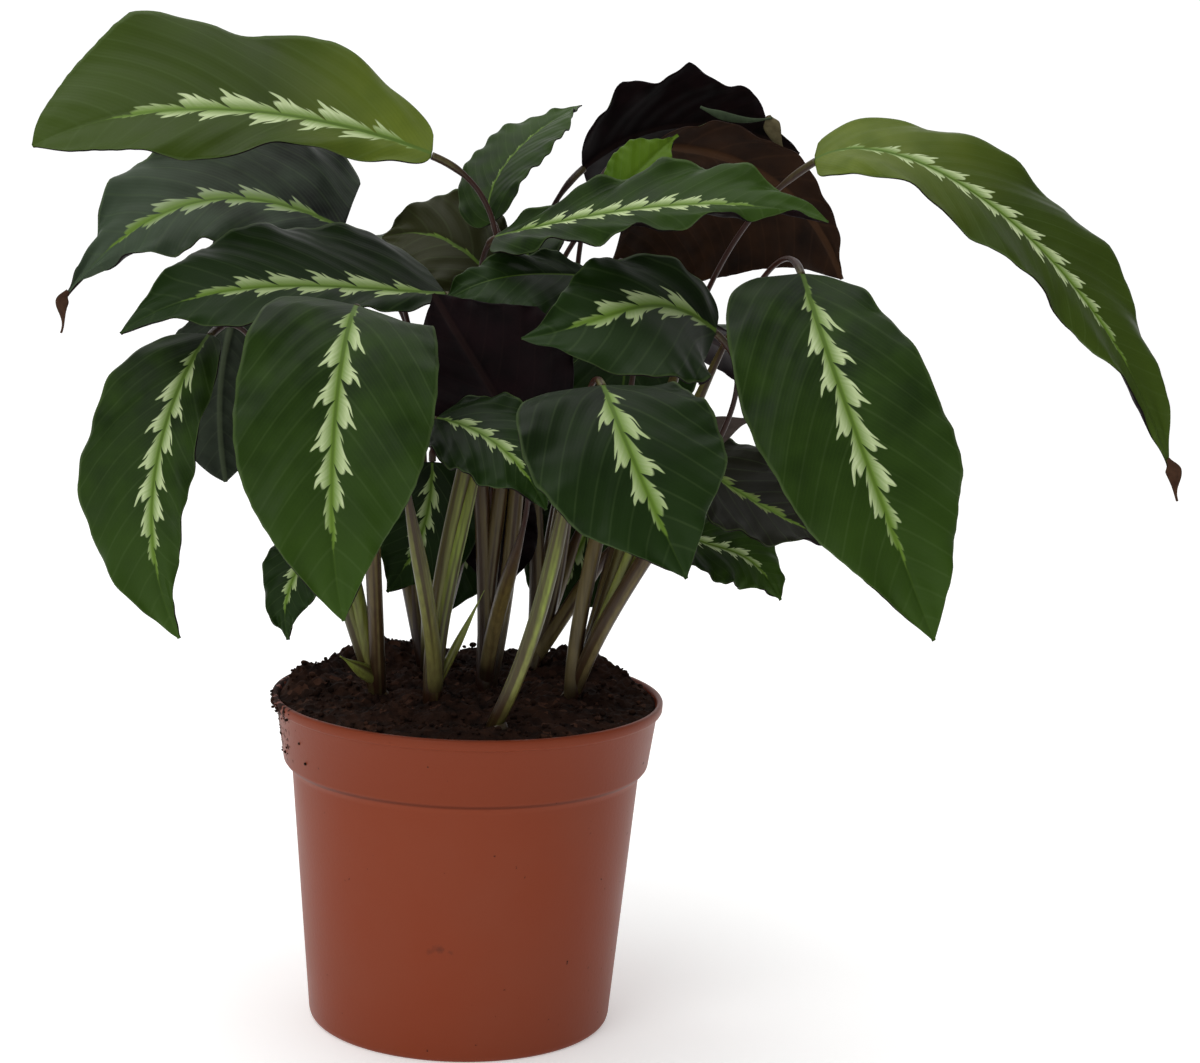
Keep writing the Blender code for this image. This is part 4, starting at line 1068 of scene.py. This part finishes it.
def add_tube(store, rings, shares, tone):
    """Adds a closed tube to the corners and faces; the values are share, tone and place around."""
    corners, faces, values = store
    start = len(corners)
    count, sides, _ = rings.shape
    corners.extend(rings.reshape(-1, 3).tolist())
    for share in shares:
        for turn in ring_angles(sides):
            values.append((share, tone, math.cos(turn), math.sin(turn), start * 0.01 + share))
    grid = start + np.arange(count * sides).reshape(count, sides)
    beside = np.roll(grid, -1, axis=1)
    quads = np.stack([grid[:-1], beside[:-1], beside[1:], grid[1:]], -1).reshape(-1, 4)
    faces.extend([*quads.tolist(), grid[0, ::-1].tolist(), grid[-1].tolist()])


def crown_rings(x, y, radius):
    """The bundle of sheaths that a tuft grows out of, ridged where one sheath wraps another."""
    angles = ring_angles(CROWN_SIDES)
    rings = []
    for z in np.linspace(CROWN_LOW_Z, SHEATH_TOP_Z, CROWN_SECTIONS):
        share = (z - CROWN_LOW_Z) / (SHEATH_TOP_Z - CROWN_LOW_Z)
        ridge = 1 - SHEATH_RIDGE * np.abs(np.sin(2.5 * angles + 40 * (z - CROWN_LOW_Z)))
        dome = 1 - 0.7 * smoothstep(0.80, 1.0, share)
        r = radius * SHEATH_SHARE * (1 - (1 - CROWN_TOP_SHARE) * share) * ridge * dome
        rings.append([(x + a * math.cos(b), y + a * math.sin(b), z) for a, b in zip(r, angles)])
    return np.array(rings)


print("corners round a stalk and a tuft:", STALK_SIDES, CROWN_SIDES)

# %% Stalk pieces
for crown, (x, y, radius) in CROWNS.items():
    store = ([], [], [])
    rings = crown_rings(x, y, radius)
    add_tube(store, rings, [0.0] * len(rings), 1.0)
    for leaf in LEAVES:
        if leaf.crown == crown:
            points, radii, u = stalk_path(leaf)
            add_tube(store, tube_rings(points, radii), u, STALK_TONES.get(leaf.name, 0.9))
    for owner, tip, shoot_radius in SHOOTS:
        if owner == crown:
            points, radii, u = shoot_path(owner, tip, shoot_radius)
            add_tube(store, tube_rings(points, radii), u, 0.0)
    corners, faces, values = store
    mesh = new_mesh(f"tuft_{crown}", corners, faces, smooth=True)
    layer = mesh.uv_layers.new(name="stalk")
    for loop in mesh.loops:
        layer.data[loop.index].uv = values[loop.vertex_index][:2]
    around = mesh.attributes.new("around", "FLOAT_VECTOR", "POINT")
    around.data.foreach_set("vector", np.array(values)[:, 2:].ravel())
    piece(f"tuft_{crown}", mesh, f"stalks_{crown}", "stalk", stalk_material)
print("tufts", len(CROWNS))

# %% [markdown]
# ## Curled strips
# Two blades have a dried tip: a narrow strip that has turned brown and papery, and has curled up. At two
# others a bit of the margin has rolled over, and shows green, tan or purple. Bending the blades' own
# edges would crease them, so each strip is a flat tube that tapers and twists away from its blade.

# %% Strip materials
def make_strip(kind, dark, pale):
    """Leaf edge, dead or dying: papery, so quite matt, with wrinkles and clouds about 2 mm wide."""
    material, node, shader = new_material(f"calathea_leaf_{kind}", roughness=0.8, specular=0.12)
    place = node("TexCoord", out="Object")
    cloud = node(NOISE, {"Vector": place, "Scale": scale_for(2), "Detail": 3.0})
    colour = node(MIX, {0: cloud, 6: dark, 7: pale}, **BLEND)
    dress(node, shader, colour, cloud, 0.5, 0.3)
    return material


dried = make_strip("tip_dried_papery", "#24140F", "#4E3626")
tan = make_strip("edge_dried_tan", "#3A3220", "#6A6248")
green = make_strip("edge_rolled_green", "#242C20", "#48563F")
purple = make_strip("edge_rolled_purple", "#38302A", "#564C48")
print("dried tips go from dark to", [round(v, 3) for v in linear("#4E3626")[:3]])

# %% Strip shapes
STRIP_THICKNESS = 0.00035
STRIP_SECTIONS = 40
STRIP_SIDES = 12
# For each strip: its name, blade, bends and half width in mm, turn in half circles, and material.
STRIPS = (
    ("dry_tip_far_right", "far_right",
     ((199.5, -48, 188), (203, -48.5, 184), (201, -49, 181), (203, -49, 176)), 2.4, 0.45, dried),
    ("dry_tip_left_back", "left_back",
     ((-127, 30, 219), (-131, 29.5, 215), (-127, 29.5, 211), (-129, 29, 206)), 2.4, 0.45, dried),
    ("rolled_edge_brown_back", "brown_back",
     ((67, 40, 282), (75, 38, 278.5), (83, 38, 277.5), (89.5, 40, 279.5)), 1.4, 0.10, green),
    ("dry_flap_brown_back", "brown_back",
     ((88.5, 41, 280), (89.5, 39, 277), (91, 39, 273), (94, 40, 268)), 2.7, 0.15, tan),
    ("rolled_edge_low_right", "low_right",
     ((68, 10, 181), (74, 9, 185), (79, 9, 187), (83.5, 10, 188)), 4.6, 0.10, purple),
)
for name, blade_name, bends, half_width, half_circles, material in STRIPS:
    u = np.linspace(0, 1, STRIP_SECTIONS)
    path = bezier(np.array(bends) * MM, u)
    turn = half_circles * math.pi * u[:, None]
    ahead = unit(np.gradient(path, axis=0))
    flat = unit(np.cross(ahead, (0.0, 1.0, 0.0)))
    edge = np.cos(turn) * flat + np.sin(turn) * np.cross(ahead, flat)
    face = np.cross(ahead, edge) * STRIP_THICKNESS
    taper = (0.3 + 0.7 * smoothstep(0.0, 0.3, u)) * (1 - 0.8 * smoothstep(0.3, 1.0, u))
    edge = edge * (half_width * MM * taper)[:, None]
    circle = ring_angles(STRIP_SIDES)[:, None]
    rings = path[:, None] + np.cos(circle) * edge[:, None] + np.sin(circle) * face[:, None]
    corners, faces, _ = store = ([], [], [])
    add_tube(store, rings, u, 1.0)
    piece(name, new_mesh(name, corners, faces, smooth=True), f"leaf_{blade_name}", "leaf", material)
print("curled strips", len(STRIPS))
